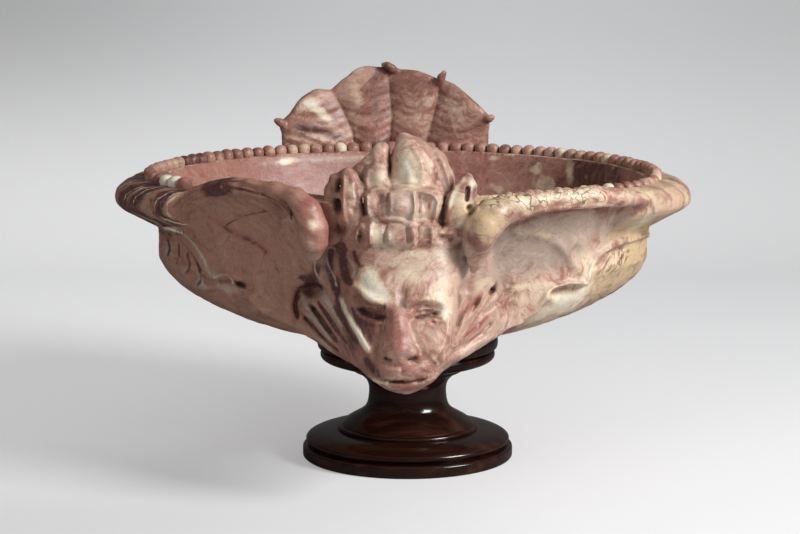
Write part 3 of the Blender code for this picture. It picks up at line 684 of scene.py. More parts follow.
# The grey strokes along the left fold's ridges are a painted highlight as well as pale stone.
colour("grey", [
    ([(-100, 196), (-92, 188), (-82, 176), (-70, 162)], 2.2, 1.9),
    ([(-94, 182), (-82, 171), (-70, 159)], 1.6, 1.6),
    ([(-86, 210), (-76, 200), (-66, 186), (-58, 172)], 2.2, 1.2),
    ([(-104, 206), (-98, 203), (-92, 198)], 2.0, 1.3),
    ([(-60, 244), (-52, 240), (-46, 232), (-50, 222)], 1.6, 1.2),
    ([(-66, 250), (-60, 238), (-60, 226)], 1.6, 1.0),
], [
    (88, 196, 26, 20, 0.5), (-78, 214, 18, 24, 0.6), (-84, 240, 12, 16, 0.6),
])
colour("rose", [
    ([(52, 160), (66, 168), (84, 182)], 2.0, 1.2), ([(58, 186), (72, 200), (84, 214)], 2.4, 0.9),
    ([(46, 152), (60, 156), (78, 166)], 2.0, 1.0),
], [
    (74, 176, 30, 24, 0.9), (-80, 160, 30, 16, 0.5), (66, 214, 14, 22, 0.6),
])
colour("ochre", [
    ([(60, 178), (72, 190), (86, 202)], 2.6, 1.0), ([(76, 208), (90, 214), (100, 222)], 2.4, 0.9),
    ([(94, 180), (110, 184), (124, 192)], 3.0, 0.7),
])

# The head hangs over the front: a broad muzzle, a blunt nose, heavy brows and a sloping forehead.
# Each slice is (height, half width, front, back).
HEAD_SLICES = np.array([
    (115, 7, -236, -220), (119, 16, -241, -212), (124, 25, -246, -200), (130, 34, -249, -182),
    (139, 43, -250, -160), (150, 50, -248, -150), (164, 54, -245, -150), (178, 55, -241, -150),
    (192, 56, -238, -150), (206, 56, -234, -150), (222, 55, -229, -150), (238, 54, -223, -150),
    (256, 52, -216, -150), (270, 50, -210, -150),
], float)


def sliced(slices, power=2.5):
    """A form given by level slices, each a rounded oblong."""
    line = curve_through(slices, 6)

    def form(x, y, z, swell=0.0):
        half, front, back = (np.interp(z, line[:, 0], line[:, n]) for n in (1, 2, 3))
        deep = (back - front) / 2
        middle = (back + front) / 2
        reach = (np.abs(x) / half) ** power + (np.abs(y - middle) / deep) ** power
        ends = np.maximum(slices[0, 0] - z, z - slices[-1, 0])
        return overlap((reach ** (1 / power) - 1.0) * np.minimum(half, deep) - swell, ends + 0 * x, 5.0)

    return form


FACE_BUMPS = [
    (-7, 205, 8, 9, 2.0), (-6, 192, 9.5, 12, 5.0), (-4.5, 177, 12.5, 13, 6.5), (-3, 161, 14, 9, 8.5),
    (-3, 151, 4, 4, 2.5), (-16, 157, 6, 5.5, 3.5), (10, 158, 6, 5.5, 3.5), (-30, 193, 14, 5, -8.0, -8),
    (22, 192, 13, 5, -8.0, 5), (-30, 191, 8, 3.0, 4.8, -6), (21, 190.5, 8, 3.0, 4.5, 5),
    (-27, 221, 17, 12, 5.0, -8), (20, 217, 17, 10, 3.5), (-2, 208, 4, 9, -3.2), (-43, 184, 9, 12, 2.0),
    (38, 184, 9, 12, 2.5), (-35, 166, 11, 14, 2.0, 20), (31, 165, 11, 13, 2.5, -20),
    (-1, 142, 22, 7, 3.5), (0, 123, 15, 4, 1.5), (-35, 143, 10, 8, -2.5, 30),
    (33, 143, 10, 8, -2.5, -30),
]
FACE_STROKES = [
    # the brows, whose lower edges slope to the nose
    ([(-54, 219), (-45, 216), (-36, 210), (-27, 205), (-17, 201), (-12, 198)], 5.0, 4.5),
    ([(1, 199), (7, 204), (15, 207), (25, 207), (34, 205), (43, 199)], 4.5, 4.5),
    ([(-48, 208), (-38, 203), (-28, 199.5), (-18, 198)], 2.0, -3.0),
    ([(5, 197), (13, 200), (23, 200), (34, 198)], 2.0, -3.0),
    # the lids and slits of the eyes
    ([(-43, 195.5), (-35, 192.5), (-29, 189.5), (-22, 188.5), (-16, 190)], 1.5, -4.5),
    ([(9, 188), (15, 189), (21, 190), (27, 190.5), (34, 193)], 1.5, -4.5),
    ([(-40, 188.5), (-30, 184.5), (-20, 184.5)], 1.9, 2.2),
    ([(-38, 199), (-29, 196.5), (-20, 195)], 1.4, 1.8),
    ([(11, 184.5), (21, 185.5), (32, 188)], 1.9, 2.2), ([(13, 196), (21, 197), (29, 196)], 1.5, 1.5),
    ([(26, 186), (31, 183), (36, 184)], 1.5, -2.0),
    # beside the nose, and down to the corners of the mouth
    ([(-17, 188), (-22, 177), (-26, 164), (-27, 152)], 3.6, -2.6),
    ([(4, 190), (8, 178), (13, 166), (18, 155)], 3.4, -2.6),
    ([(-27, 153), (-31, 144), (-31, 135)], 3.0, -1.8), ([(21, 154), (28, 145), (31, 137)], 3.0, -1.8),
    # the nostrils, the groove under the nose and the mouth
    ([(-18, 154.5), (-15, 151), (-10, 150.5)], 1.9, -6.0),
    ([(4, 151), (9, 151), (13, 154.5)], 1.9, -6.0),
    ([(-22, 149), (-13, 146.5), (-3, 145), (7, 146.5), (17, 149)], 2.2, -2.6),
    ([
        (-20, 132.5), (-14, 130.5), (-8, 129.5), (-1, 130), (7, 130), (15, 130), (22, 131.5),
        (28, 134.5),
    ], 1.4, -3.0),
    ([(-10, 130.5), (-5, 130), (1, 130)], 2.0, -2.6),
    ([(12, 130), (15, 130.5), (20, 131.5)], 2.0, -2.6), ([(-2, 145), (-1, 137)], 2.0, -1.8),
    ([(14, 141), (20, 139), (24, 136)], 1.8, -1.4),
    # the lower edge of the cheek and the folds beside it
    ([(-60, 218), (-62, 200), (-57, 182), (-49, 166), (-38, 150)], 3.6, -3.0),
    ([(-61, 201), (-57, 192), (-51, 184), (-44, 175), (-37, 166), (-30, 155)], 2.6, 2.6),
    ([(50, 218), (53, 198), (52, 180), (47, 163), (40, 148)], 3.6, -2.0),
]
stone.join(sliced(HEAD_SLICES), (-72, -264, 110), (72, -140, 286), 8.0)
carve(FACE_STROKES, FACE_BUMPS)
colour("cream", [
    ([(-60, 203), (-56, 193), (-50, 185), (-44, 176), (-38, 167), (-31, 156)], 3.1, 1.2),
    ([(43, 188), (42, 176), (38, 164), (33, 154)], 0.9, 0.6),
    ([(-16, 190), (-20, 176), (-21, 160)], 0.8, 0.5), ([(26, 156), (31, 149), (34, 143)], 3.0, 0.7),
    ([(-30, 131), (-22, 128), (-13, 129)], 2.4, 0.7),
], [
    (-31, 217, 12, 12, 1.4), (-18, 209, 9, 8, 1.1, -30), (-32, 229, 9, 6, 0.9), (10, 226, 16, 9, 0.6),
    (24, 208, 12, 6, 0.6), (34, 196, 5, 7, 0.6), (4, 243, 30, 12, 0.5), (40, 212, 7, 12, 0.55),
    (41, 194, 5, 9, 0.9),
])
colour("maroon", [
    ([(-62, 256), (-58, 243), (-56, 228), (-50, 216)], 6.0, 1.3),
    ([(-64, 222), (-63, 206), (-60, 192)], 3.4, 1.2), ([(-48, 250), (-44, 240), (-40, 234)], 3.0, 0.9),
    ([(-66, 196), (-60, 184), (-53, 174), (-43, 161)], 3.2, 1.2),
    ([(-50, 198), (-44, 186), (-36, 172)], 2.0, 0.8), ([(-36, 152), (-28, 140), (-18, 132)], 4.0, 0.45),
    ([(-20, 131), (-8, 129), (8, 129.5), (26, 133)], 1.6, 0.8),
    ([(-42, 196), (-30, 189.5), (-16, 190)], 2.0, 0.5), ([(10, 188.5), (20, 190), (33, 193)], 1.6, 0.5),
    ([(-18, 153), (-11, 151)], 2.0, 0.8), ([(4, 151), (12, 154)], 2.0, 0.9),
], [
    (-26, 190, 13, 5, 0.6), (19, 190, 12, 4, 0.5), (-1, 203, 6, 7, 0.55), (-7, 178, 8, 14, 0.12),
    (0, 122, 16, 7, 0.35), (-32, 176, 13, 18, 1.0), (-30, 142, 14, 12, 0.6),
])
colour("brown", bumps=[
    (-34, 172, 20, 26, 1.1), (-26, 140, 22, 14, 0.8), (-50, 215, 10, 30, 0.6), (0, 268, 50, 26, 0.45),
])
colour("grey", [
    ([(58, 262), (60, 240), (58, 222), (56, 206)], 6.0, 0.8),
], [
    (6, 236, 44, 22, 0.8), (0, 203, 8, 8, 0.8), (0, 322, 40, 30, 0.5), (-6, 292, 40, 22, 0.5),
    (-20, 262, 20, 14, 0.5),
])
colour("rose", bumps=[
    (-6, 174, 12, 22, 1.5), (27, 183, 7, 6, 0.9), (-38, 176, 13, 18, 0.5), (0, 143, 22, 8, 1.0),
])
colour("ochre", [
    ([(-45, 214), (-44, 226), (-37, 233), (-28, 236)], 2.0, 1.0),
    ([(-42, 204), (-34, 199), (-20, 198)], 2.0, 0.9), ([(-34, 134), (-26, 130), (-14, 128)], 3.4, 0.9),
    ([(30, 152), (36, 144)], 3.0, 0.9),
])
colour("pale", bumps=[(6, 238, 46, 26, 1.5), (20, 208, 24, 12, 0.7), (26, 172, 16, 18, 1.2)])

# The hood. Two stepped rows of folds rise from the forehead, and above them a smaller and a larger
# lobe lean together to a peak over the rim, parted by a deep groove.
HOOD_SLICES = np.array([
    (250, 47, -214, -162), (258, 49, -220, -162), (266, 48, -219, -162), (273, 45, -215, -162),
    (278, 44, -209, -162), (288, 45, -212, -162), (298, 43, -209, -162), (305, 40, -204, -160),
    (310, 36, -196, -156), (318, 28, -184, -152), (326, 20, -176, -152),
], float)
HOOD_STEP_OUT = 1.6
HOOD_STEP_TALL = 14.5
HOOD_LOBES = [
    [((10, -168, 302), 29), ((11, -166, 322), 26), ((8, -163, 337), 17), ((1, -161, 348.5), 7.5),
     ((-1, -161, 352), 5)],
    [((30, -168, 296), 22), ((31, -166, 313), 18.5), ((29, -164, 328), 12.5), ((25, -163, 337), 9)],
    [((0, -160, 348), 6.5), ((14, -161, 344), 7), ((27, -162, 338), 7)],
    [((-25, -174, 302), 18), ((-24, -171, 321), 14), ((-22, -167, 336), 9.5), ((-21, -165, 340), 8)],
    [((-29, -166, 329), 10), ((-39, -166, 317), 10.5), ((-48, -168, 308), 10.5), ((-52, -170, 294), 10)],
]
HOOD_BUMPS = [
    (-23, 317, 9, 9, 4.0), (-22, 337, 9, 6, -2.0), (8, 322, 8, 14, 3.0), (34, 320, 9, 14, -2.0, 20),
    (-22, 296, 6.0, 8, -4.0), (-3, 294, 7, 9, 3.0), (20, 297, 6, 6, -5.0), (21, 289, 5, 5, -2.0),
    (-14, 273, 3, 4, -4.5), (-22, 265, 6, 8, -2.0), (-2, 266, 6.5, 7, -1.8), (18, 266, 6, 6, -4.0),
    (-40, 262, 3.5, 7, -3.5), (36, 268, 4, 3, 3.0), (44, 266, 4, 3, 3.0), (51, 263, 3, 3, 2.5),
    (35, 262, 4, 3, -2.5), (45, 260, 5, 3, -2.5), (40, 274, 8, 2, -2.5),
]
HOOD_STROKES = [
    ([(-12, 346), (-13, 336), (-13, 325), (-12, 312), (-12, 306)], 2.2, -5.0),
    ([(-34, 322), (-30, 327), (-22, 328), (-15, 327)], 2.0, 2.8),
    ([(-35, 324), (-35, 315), (-34, 306)], 2.0, 2.2),
    ([
        (-36, 301), (-31, 306), (-23, 308), (-12, 308.5), (0, 308), (12, 307), (22, 305), (30, 301),
        (35, 295),
    ], 1.9, 3.6),
    ([(-34, 303), (-35, 295), (-34, 287), (-31, 280)], 2.0, 3.0),
    ([(-12, 306), (-12.5, 295), (-12, 284)], 1.8, 1.8),
    ([(9, 306), (11.5, 295), (10, 284), (8, 279)], 1.9, 3.4),
    ([(33, 298), (32, 288), (30, 279), (27, 272)], 2.0, 3.0),
    ([
        (-35, 272), (-29, 277), (-22, 279.5), (-13, 280.5), (-3, 279), (5, 276), (14, 278), (22, 276),
        (28, 271),
    ], 1.9, 3.6),
    ([(-31, 276), (-32, 266), (-31, 254)], 1.9, 3.0), ([(-12, 279), (-14, 270), (-14, 260)], 1.8, 1.8),
    ([(7, 276), (10, 266), (9.5, 254)], 1.9, 3.0), ([(27, 271), (28, 264), (26, 256)], 1.9, 2.6),
    ([(-40, 252), (-45, 262), (-40, 273), (-35, 262), (-40, 252)], 1.6, 2.4),
    ([(-14.5, 304), (-14.5, 284)], 1.5, -3.5), ([(14.5, 303), (14.5, 284)], 1.6, -3.5),
    ([(-17, 275), (-18, 258)], 1.5, -3.0), ([(3, 273), (4, 256)], 1.5, -2.4),
    ([(13.5, 274), (13.5, 258)], 1.5, -2.6), ([(-38, 300), (-38, 290), (-37, 280)], 2.4, -6.0),
    ([(40, 300), (38, 288), (35, 278)], 1.6, -2.6),
    ([(8, 348), (15, 338), (19, 326), (19, 312)], 3.0, 2.4),
    ([(31, 334), (38, 320), (42, 304)], 2.0, -2.2), ([(24, 340), (27, 326), (29, 312)], 4.0, -2.6),
    ([(-10, 311), (2, 310.5), (16, 309)], 1.6, -2.6), ([(-30, 334), (-33, 324)], 3.0, -2.0),
    ([(4, 334), (10, 322), (11, 314)], 3.0, -1.4),
    ([(-30, 248), (-15, 249), (0, 250), (16, 250), (28, 249)], 3.0, -1.6),
]


def hood(x, y, z):
    """The hood, whose sides step out a little over each fold."""
    steps = HOOD_STEP_OUT * (((z - 250) / HOOD_STEP_TALL) % 1.0) * ease((np.abs(x) - 30) / 8)
    return sliced(HOOD_SLICES, 2.3)(x, y, z, 1.0 - steps)


stone.join(hood, (-70, -236, 240), (74, -130, 340), 4.0)
for lobe in HOOD_LOBES:
    join_limb(lobe, 1.6)
carve(HOOD_STROKES, HOOD_BUMPS)
colour("ochre", [
    ([(-33, 303), (-20, 308), (0, 308.5), (20, 305), (33, 297)], 1.2, 0.9),
    ([(-30, 278), (-13, 281), (4, 276), (22, 276)], 1.2, 0.9), ([(11, 305), (11, 283)], 1.2, 0.8),
], [
    (12, 316, 12, 8, 0.7), (-26, 304, 10, 5, 0.5),
])
colour("cream", bumps=[
    (4, 330, 12, 18, 1.0), (10, 312, 12, 8, 0.5), (-24, 314, 8, 8, 0.6), (-26, 268, 7, 13, 0.9),
    (-24, 336, 8, 6, 0.4), (0, 258, 16, 5, 0.35), (24, 326, 7, 12, 0.45),
])
colour("pale", bumps=[(6, 320, 40, 40, 0.8), (0, 280, 50, 24, 0.4)])
colour("maroon", [
    ([(-36, 298), (-36, 280)], 3.0, 0.8),
], [
    (-14, 295, 4, 8, 0.5), (20, 297, 6, 6, 0.55), (18, 266, 6, 6, 0.5), (-2, 266, 6, 6, 0.3),
    (-40, 262, 5, 8, 0.4), (-6, 296, 8, 7, 0.2),
])

# The ears. Each is a pointed leaf beside the hood, scooped out on its outer side behind a thin rim.
EARS = {
    -1: [
        ((-46, -194, 262), 11), ((-48, -191, 282), 14.5), ((-49, -187, 301), 12.5),
        ((-52, -182, 316), 7.5), ((-53, -181, 321), 5),
    ],
    1: [
        ((49, -198, 268), 13), ((52, -197, 282), 15), ((56, -193, 296), 12.5), ((61, -187, 309), 8.5),
        ((62.5, -183, 316.5), 5),
    ],
}
EAR_BACKS = {
    -1: [
        ((-67, -177, 262), 9), ((-69, -176, 284), 8), ((-69, -175, 302), 6.5), ((-66, -176, 314), 4.5),
        ((-59, -177, 319), 4),
    ],
    1: [
        ((72, -188, 266), 9), ((76, -187, 279), 8.5), ((80, -185, 290), 6),
    ],
}
EAR_HOLLOWS = {
    -1: [[((-62, -192, 286), 3.6), ((-62, -192, 293), 4)],
         [((-61.5, -190, 306), 3.4), ((-60.5, -187, 313), 3)]],
    1: [[((60.5, -202, 297), 1.7), ((61.5, -196.5, 307), 1.9)],
        [((62, -203.5, 289), 2.6), ((63, -203.5, 290), 2.4)]],
}
for side in (-1, 1):
    join_limb(EARS[side], 4.0, squash=(1.0, 0.8, 1.0))
    join_limb(EAR_BACKS[side], 4.0)
    for hollow_part in EAR_HOLLOWS[side]:
        join_limb(hollow_part, 2.0, squash=(1.0, 2.0, 1.0), cut=True)
EAR_STROKES = [
    ([(50, 312), (45, 300), (42, 284), (44, 272)], 2.0, 1.5),
    ([(70, 312), (71, 300), (69, 286)], 1.8, 1.5), ([(46, 276), (56, 280), (66, 286)], 1.6, -1.6),
    ([(-57, 320), (-57, 306), (-57, 288), (-54, 272)], 1.8, 2.0), ([(-50, 290), (-46, 284)], 2.0, -2.5),
    ([(-52, 316), (-50, 306)], 1.4, -1.6), ([(-47, 312), (-45, 300)], 1.4, -1.6),
    ([(-44, 300), (-46, 286)], 1.8, -1.5), ([(-60, 300), (-66, 298)], 2.0, 2.0),
    ([(-52, 266), (-44, 270), (-40, 280)], 2.0, -2.0),
]
carve(EAR_STROKES)
colour("cream", [
    ([(44, 290), (50, 306), (60, 318)], 3.0, 0.7),
], [
    (-49, 304, 6, 14, 0.8), (66, 312, 6, 8, 0.8), (54, 296, 6, 10, 0.6), (58, 276, 10, 5, 0.5),
])
# The maroon stroke along the right ear's edge next to the hood is a painted shadow line.
colour("maroon", [
    ([(37, 268), (39, 284), (44, 298), (50, 310)], 2.0, 1.0),
], [
    (-62, 292, 4, 8, 1.0), (-61, 310, 4, 6, 1.0), (50, 275, 6, 7, 0.5), (-60, 268, 12, 9, 0.8),
])
# The brown stroke along the right ear's edge is the same painted shadow line.
colour("brown", [
    ([(40, 270), (43, 286), (48, 300), (54, 311)], 3.0, 1.2),
], [
    (-56, 292, 16, 28, 0.6),
])
colour("ochre", bumps=[(52, 300, 7, 14, 0.9), (58, 284, 10, 8, 0.8), (-49, 296, 7, 14, 0.8)])

# The well. It was hollowed out of the same block and polished last, so the back of the head is cut
# away where it would stand into it.
well_outline = np.concatenate([
    [(PAST_AXIS, WELL_FLOOR_Z)],
    curve_through(BODY_INSIDE)[::-1],
    [(LIP_R, RIM_Z), (PAST_AXIS, RIM_Z)],
])
stone.cut(turned_field(well_outline), ALL_LOW, (FAR, FAR, RIM_Z), 0.5)

# The finished block. The carving is pressed into its skin, which is slightly uneven from hand tools.
# Each point of it also keeps how hollow the stone is there, which sets its painted shade and dirt, and its
# tints.
outer_wall = body_front(drawn_x, drawn_z)[:, None, :]
for_front = ease((-stone.ys[None, :, None] - outer_wall + 6.0) / 6.0)
stone.field -= (relief[:, None, :] * for_front).astype(np.float32)


def cloud(points, size, seed):
    """Soft random values from -1 to 1, which change over the given size."""
    place = points / size + seed * 7.3
    cell = np.floor(place).astype(np.int64)
    share = ease(place - cell)
    total = np.zeros(len(points))
    for i in (0, 1):
        for j in (0, 1):
            for k in (0, 1):
                key = (cell + (i, j, k)) @ np.array([73856093, 19349663, 83492791])
                key = (key ^ (key >> 13)) * 1274126177 % 4294967296
                key = (key ^ (key >> 16)) * 2246822519 % 4294967296
                weight = np.ones(len(points))
                for axis, end in enumerate((i, j, k)):
                    weight *= share[:, axis] if end else 1 - share[:, axis]
                total += weight * (key / 2147483648.0 - 1.0)
    return total


def unevenness(points):
    """The slight waves that hand tools leave, in millimetres."""
    return 0.55 * cloud(points, 23.0, 1) + 0.4 * cloud(points, 11.0, 2) + 0.22 * cloud(points, 5.5, 3)


# The unevenness is kept within the stone's half width and its back.
STONE_HALF = 300.0
STONE_BACK = 300.0

# Painted shade and dirt lie where stone stands close by, looked for at these distances and weights.
SHADE_AND_DIRT_REACHES = ((1.8, 0.45), (3.6, 0.4), (8.0, 0.15))


def skin_of(form, rough):
    """The points, faces and hollowness of a form, which sets its painted shade and dirt, once its surface is
    made uneven.
    """
    points, faces = form.skin()
    normal = form.slope(points, 1.5)
    normal /= np.maximum(np.linalg.norm(normal, axis=1), 1e-6)[:, None]
    hollow = np.zeros(len(points))
    for reach, weight in SHADE_AND_DIRT_REACHES:
        room = form.at(np.clip(points + normal * reach, form.low, form.high))
        hollow += weight * np.clip((0.86 * reach - room) / (0.5 * reach), 0, 1)
    uneven = unevenness(points) * rough(points)
    limit = np.array([(-STONE_HALF, -FAR, 0), (STONE_HALF, STONE_BACK, FAR)])
    skin = np.clip(points + normal * uneven[:, None], *limit)
    return skin, faces, np.clip(hollow - 0.25 * uneven, 0, 1)


def new_mesh(name, points, faces, tints):
    """A piece in metres, from points in the stone's own millimetres."""
    mesh = bpy.data.meshes.new(name)
    mesh.vertices.add(len(points))
    mesh.vertices.foreach_set("co", np.asarray((points + (STONE_X, 0, 0)) * MM, np.float32).ravel())
    mesh.loops.add(faces.size)
    mesh.loops.foreach_set("vertex_index", faces.astype(np.int32).ravel())
    mesh.polygons.add(len(faces))
    mesh.polygons.foreach_set("loop_start", np.arange(0, faces.size, faces.shape[1], dtype=np.int32))
    for tint in ("hollow", *TINTS):
        values = np.asarray(tints.get(tint, np.zeros(len(points))), np.float32)
        mesh.attributes.new(tint, "FLOAT", "POINT").data.foreach_set("value", values)
    mesh.update(calc_edges=True)
    mesh.shade_smooth()
    piece = bpy.data.objects.new(name, mesh)
    bpy.context.scene.collection.objects.link(piece)
    return piece


def inside_well(points):
    """Whether each point is on the well's side of the middle of the bowl's wall."""
    x, y, z = points.T
    radius = np.hypot(x, y / np.where(y < 0, front_ratio(z), 1.0))
    outer, inner = np.array(BODY_OUTSIDE, float), np.array(BODY_INSIDE, float)[::-1]
    wall = 0.5 * np.interp(z, outer[:, 1], outer[:, 0]) + 0.5 * np.interp(z, inner[:, 1], inner[:, 0])
    return (radius < wall) & (z > 150) & (z < RIM_Z + 0.5)


def stone_roughness(points):
    """The well is smooth, and the carving outside is not, least of all on the hood."""
    x, _, z = points.T
    hood_part = ease((z - 252) / 14) * ease((76 - np.abs(x)) / 10)
    return np.where(inside_well(points), 0.15, 1.15 + 0.7 * hood_part)


points, faces, hollow = skin_of(stone, stone_roughness)
px, py, pz = points.T
well = inside_well(points)
front = ease((-py - body_front(px, pz) + 8.0) / 8.0) * ~well

# Less painted shade and dirt lie in the open fold beside the right of the jaw.
hollow -= bump(px, pz, 60, 240, 12, 26, 0.5) * front
tints = {tint: np.zeros(len(points)) for tint in TINTS}
tints["hollow"] = np.maximum(hollow, 0.0)
for tint, strokes, bumps in front_colours:
    for line, width, strength in strokes:
        tints[tint] += stroke(px, pz, line, width, strength) * front
    for row in bumps:
        tints[tint] += bump(px, pz, *row) * front

# The flange is dark and banded at the left, and pale and blotched at the right.
behind = py / np.where(py < 0, front_ratio(pz), 1.0)
radius = np.hypot(px, behind)
flange_part = ease((np.abs(px) * math.sin(FLANGE_END) + behind * math.cos(FLANGE_END)) / 8)
flange_part *= (radius > 256) * (pz > 246) * ~well
flange_left = flange_part * ease((-px - 120) / 100)
flange_right = flange_part * ease((px - 90) / 120)
strip = np.stack([np.arctan2(py, px) * 290 + radius * 0.5, radius * 0.12, pz * 0.12], axis=1)
tints["brown"] += flange_left * 0.6
tints["maroon"] += flange_left * (0.25 + 0.7 * ease((cloud(strip, 11.0, 5) + 0.3) / 0.6))
tints["cream"] += flange_left * ease((cloud(strip, 3.4, 6) - 0.3) / 0.25) * 0.75
tints["cream"] += flange_right * ease((cloud(strip, 13.0, 7) - 0.05) / 0.4) * 0.35
tints["grey"] += flange_right * ease((cloud(strip, 19.0, 14) + 0.1) / 0.4) * 0.6
tints["ochre"] += flange_right * 0.8
tints["pale"] += flange_right * 0.3
tints["rose"] += flange_right * 0.25

# Lower down, the stone is brown at the left and paler at the right.
below = ~well * ease((246 - pz) / 24)
tints["brown"] += below * ease((-px - 20) / 120) * 0.8
tints["pale"] += below * ease((px - 110) / 80) * 0.4
tints["cream"] += below * ease((px - 110) / 60) * ease((200 - px) / 30) * 0.3

# The well is rosy. It is darker at the left, with pale marks under the lip, and blotched with ochre
# and cream at the right.
well_left = well * ease((60 - px) / 120)
well_right = well * ease((px - 20) / 110)
under_lip = well_left * (py > 0)
blotches = 1.1 * cloud(points * (1.0, 1.0, 1.5), 21.0, 9) + 0.8 * cloud(points, 9.0, 16)
tints["rose"] += well * 1.0
tints["brown"] += well_left * 0.6
tints["maroon"] += well_left * (0.2 + 0.25 * cloud(points, 26.0, 15))
tints["maroon"] += well_right * (0.25 + 0.4 * cloud(points, 34.0, 8))
tints["maroon"] += well * bump(px, pz, 214, 276, 26, 18, 0.9)
tints["cream"] += well_left * ease((cloud(points, 17.0, 10) - 0.4) / 0.3) * 0.3
tints["cream"] += under_lip * (bump(px, pz, -134, 289, 10, 4, 1.2) + bump(px, pz, -50, 290, 70, 3, 0.5))
tints["cream"] += well_right * ease((blotches - 0.2) / 0.4) * 0.6 + well * bump(px, pz, 186, 280, 5, 16, 0.8)
tints["grey"] += under_lip * bump(px, pz, -60, 289, 90, 4.5, 1.6)
tints["ochre"] += well_right * ease((blotches + 0.08) / 0.35) * 1.1
block = new_mesh("carved_block", points, faces, tints)
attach(block, "root")
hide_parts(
    "bowl", "rim_flange", "beast_head", "hood_crest", "left_ear", "right_ear", "left_neck_fold",
    "right_neck_fold", "left_wing_membrane", "right_wing_membrane", "left_wing_arm", "right_wing_arm",
)

# The tail fan. Four ribbed lobes of the same stone stand on the rim behind, curved to the rim's
# plan, and the creases between them end in small curled tips.
FAN_X = -19.5
FAN_R = 283.0
FAN_CELL = 1.6 * COARSE / 2.8
FAN_BASE_Z = 270
FAN_TALL = 120
FAN_THICK = 6.5
FAN_LOBE_OUT = 6.5
FAN_EDGE = [
    (-121, 268), (-122.5, 290), (-123.4, 317.3), (-125.9, 325), (-124.9, 330), (-119.5, 333.4),
    (-113, 339), (-108, 346), (-103, 353.5), (-98.4, 357.8), (-91.2, 362), (-84, 366), (-78.9, 367),
    (-70, 365.8), (-63.7, 365.4), (-58.6, 370), (-50.7, 377.1), (-44, 381), (-38, 386.5), (-32, 390),
    (-26.7, 391.9), (-18.7, 392.4), (-8.9, 391), (-0.9, 391.6), (7, 391), (16, 389), (24.9, 388.5),
    (36.9, 387), (46.8, 383.6), (55.8, 380.1), (61.9, 377.6), (68, 377), (72, 375.5), (79.2, 372.7),
    (91.5, 363.4), (101.9, 355), (112.4, 345.8), (119.9, 339.2), (123.1, 330.7), (122.1, 321.1),
    (121.5, 290), (120, 268),
]
FAN_CREASES = [
    [(-126, 400), (-125, 330), (-122, 300), (-121, 260)],
    [(-72, 400), (-63.7, 367), (-52, 345), (-41, 321), (-37, 303), (-34, 260)],
    [(2, 400), (3, 390), (5, 362), (7.4, 334), (5, 307), (4, 260)],
    [(66, 400), (64, 377), (61.4, 354), (54.2, 325), (49.4, 307), (45, 260)],
    [(124, 400), (123.5, 334), (122, 310), (121, 260)],
]
FAN_RIBS = [
    ([(-125, 325), (-104, 317), (-79, 307), (-60, 300)], 2.2, 1.8),
    ([(123, 331), (102, 323), (81, 315), (60, 307)], 2.2, 1.8),
]
FAN_TIPS = [
    [((-123, -3, 326), 3.5), ((-128, -4, 330), 4.0), ((-132, -3, 332), 2.8)],
    [((12, -2, 387.5), 3.5), ((7, -5, 390.5), 4.2), ((2, -6, 393.8), 3.6), ((-3, -4, 394.2), 2.8)],
    [((62, -2, 374), 3.5), ((66, -5, 380), 4.0), ((70, -6, 386), 2.6)],
    [((119, -3, 332), 3.2), ((125, -4, 334), 3.8), ((129, -3, 336), 2.6)],
]

fan = Block(
    grid_line(-160, 112, -159, 111, FAN_CELL, COARSE),
    grid_line(232, 306, 233, 305, FAN_CELL, COARSE),
    grid_line(262, 406, 263, 405, FAN_CELL, COARSE),
)


def growth_lines(height):
    """Fine ridges across each lobe, like those of a shell."""
    return 0.35 * np.sin(height / 1.45) + 0.4 * np.sin(height / 3.1 + 1.0)


def fan_form(x, y, z):
    """A curved sheet within the fan's outline, arched and thicker over each lobe."""
    across = np.arctan2(x - FAN_X, y) * FAN_R + 0 * z
    radius = np.hypot(x - FAN_X, y)
    spread = np.arange(-150.0, 151.0)
    edge = outline_field(FAN_EDGE, spread, fan.zs)
    near = np.empty(across.shape)
    swell = np.zeros(across.shape)
    grow = np.zeros(across.shape)
    for k in range(across.shape[2]):
        place = across[:, :, k]
        height = fan.zs[k]
        near[:, :, k] = np.interp(place, spread, edge[:, k])
        creases = []
        for line in FAN_CREASES:
            along, tall = zip(*line[::-1])
            creases.append(np.interp(height, tall, along))
        for left, right in zip(creases, creases[1:]):
            share = np.clip((place - left) / (right - left), 0, 1)
            arch = np.sin(math.pi * share)
            swell[:, :, k] += np.maximum(arch, 0) ** 0.7
            grow[:, :, k] += np.where(arch > 0, growth_lines(height + 9.0 * arch), 0)
    rise = (z - FAN_BASE_Z) / FAN_TALL
    up = np.clip(rise, 0, 1)
    thick = FAN_THICK - 3.2 * up + FAN_LOBE_OUT * swell * (1.1 - 0.5 * up) + grow * ease(1.4 - rise)
    thick = thick * (1 - 0.45 * np.exp(near / 6.0))
    lean = 3.0 * rise - 3.5 * swell * (1 - 0.6 * up)
    for line, width, height in FAN_RIBS:
        thick = thick + stroke(across, z, line, width, height)
    return overlap(np.abs(radius - FAN_R - lean) - thick, near, 1.6)


fan.join(fan_form, ALL_LOW, ALL_HIGH, 0.01)
for tip in FAN_TIPS:
    route = []
    for (across, out, z), radius in tip:
        turn = across / FAN_R
        place = (FAN_X + (FAN_R + out) * math.sin(turn), (FAN_R + out) * math.cos(turn), z)
        route.append((place, radius))
    lows = np.min([place for place, _ in route], axis=0) - 14
    highs = np.max([place for place, _ in route], axis=0) + 14
    fan.join(limb(route, fillet=3.0), lows, highs, 3.0)

points, faces, hollow = skin_of(fan, lambda places: 0.6)
across = np.arctan2(points[:, 0] - FAN_X, points[:, 1]) * FAN_R
height = points[:, 2]
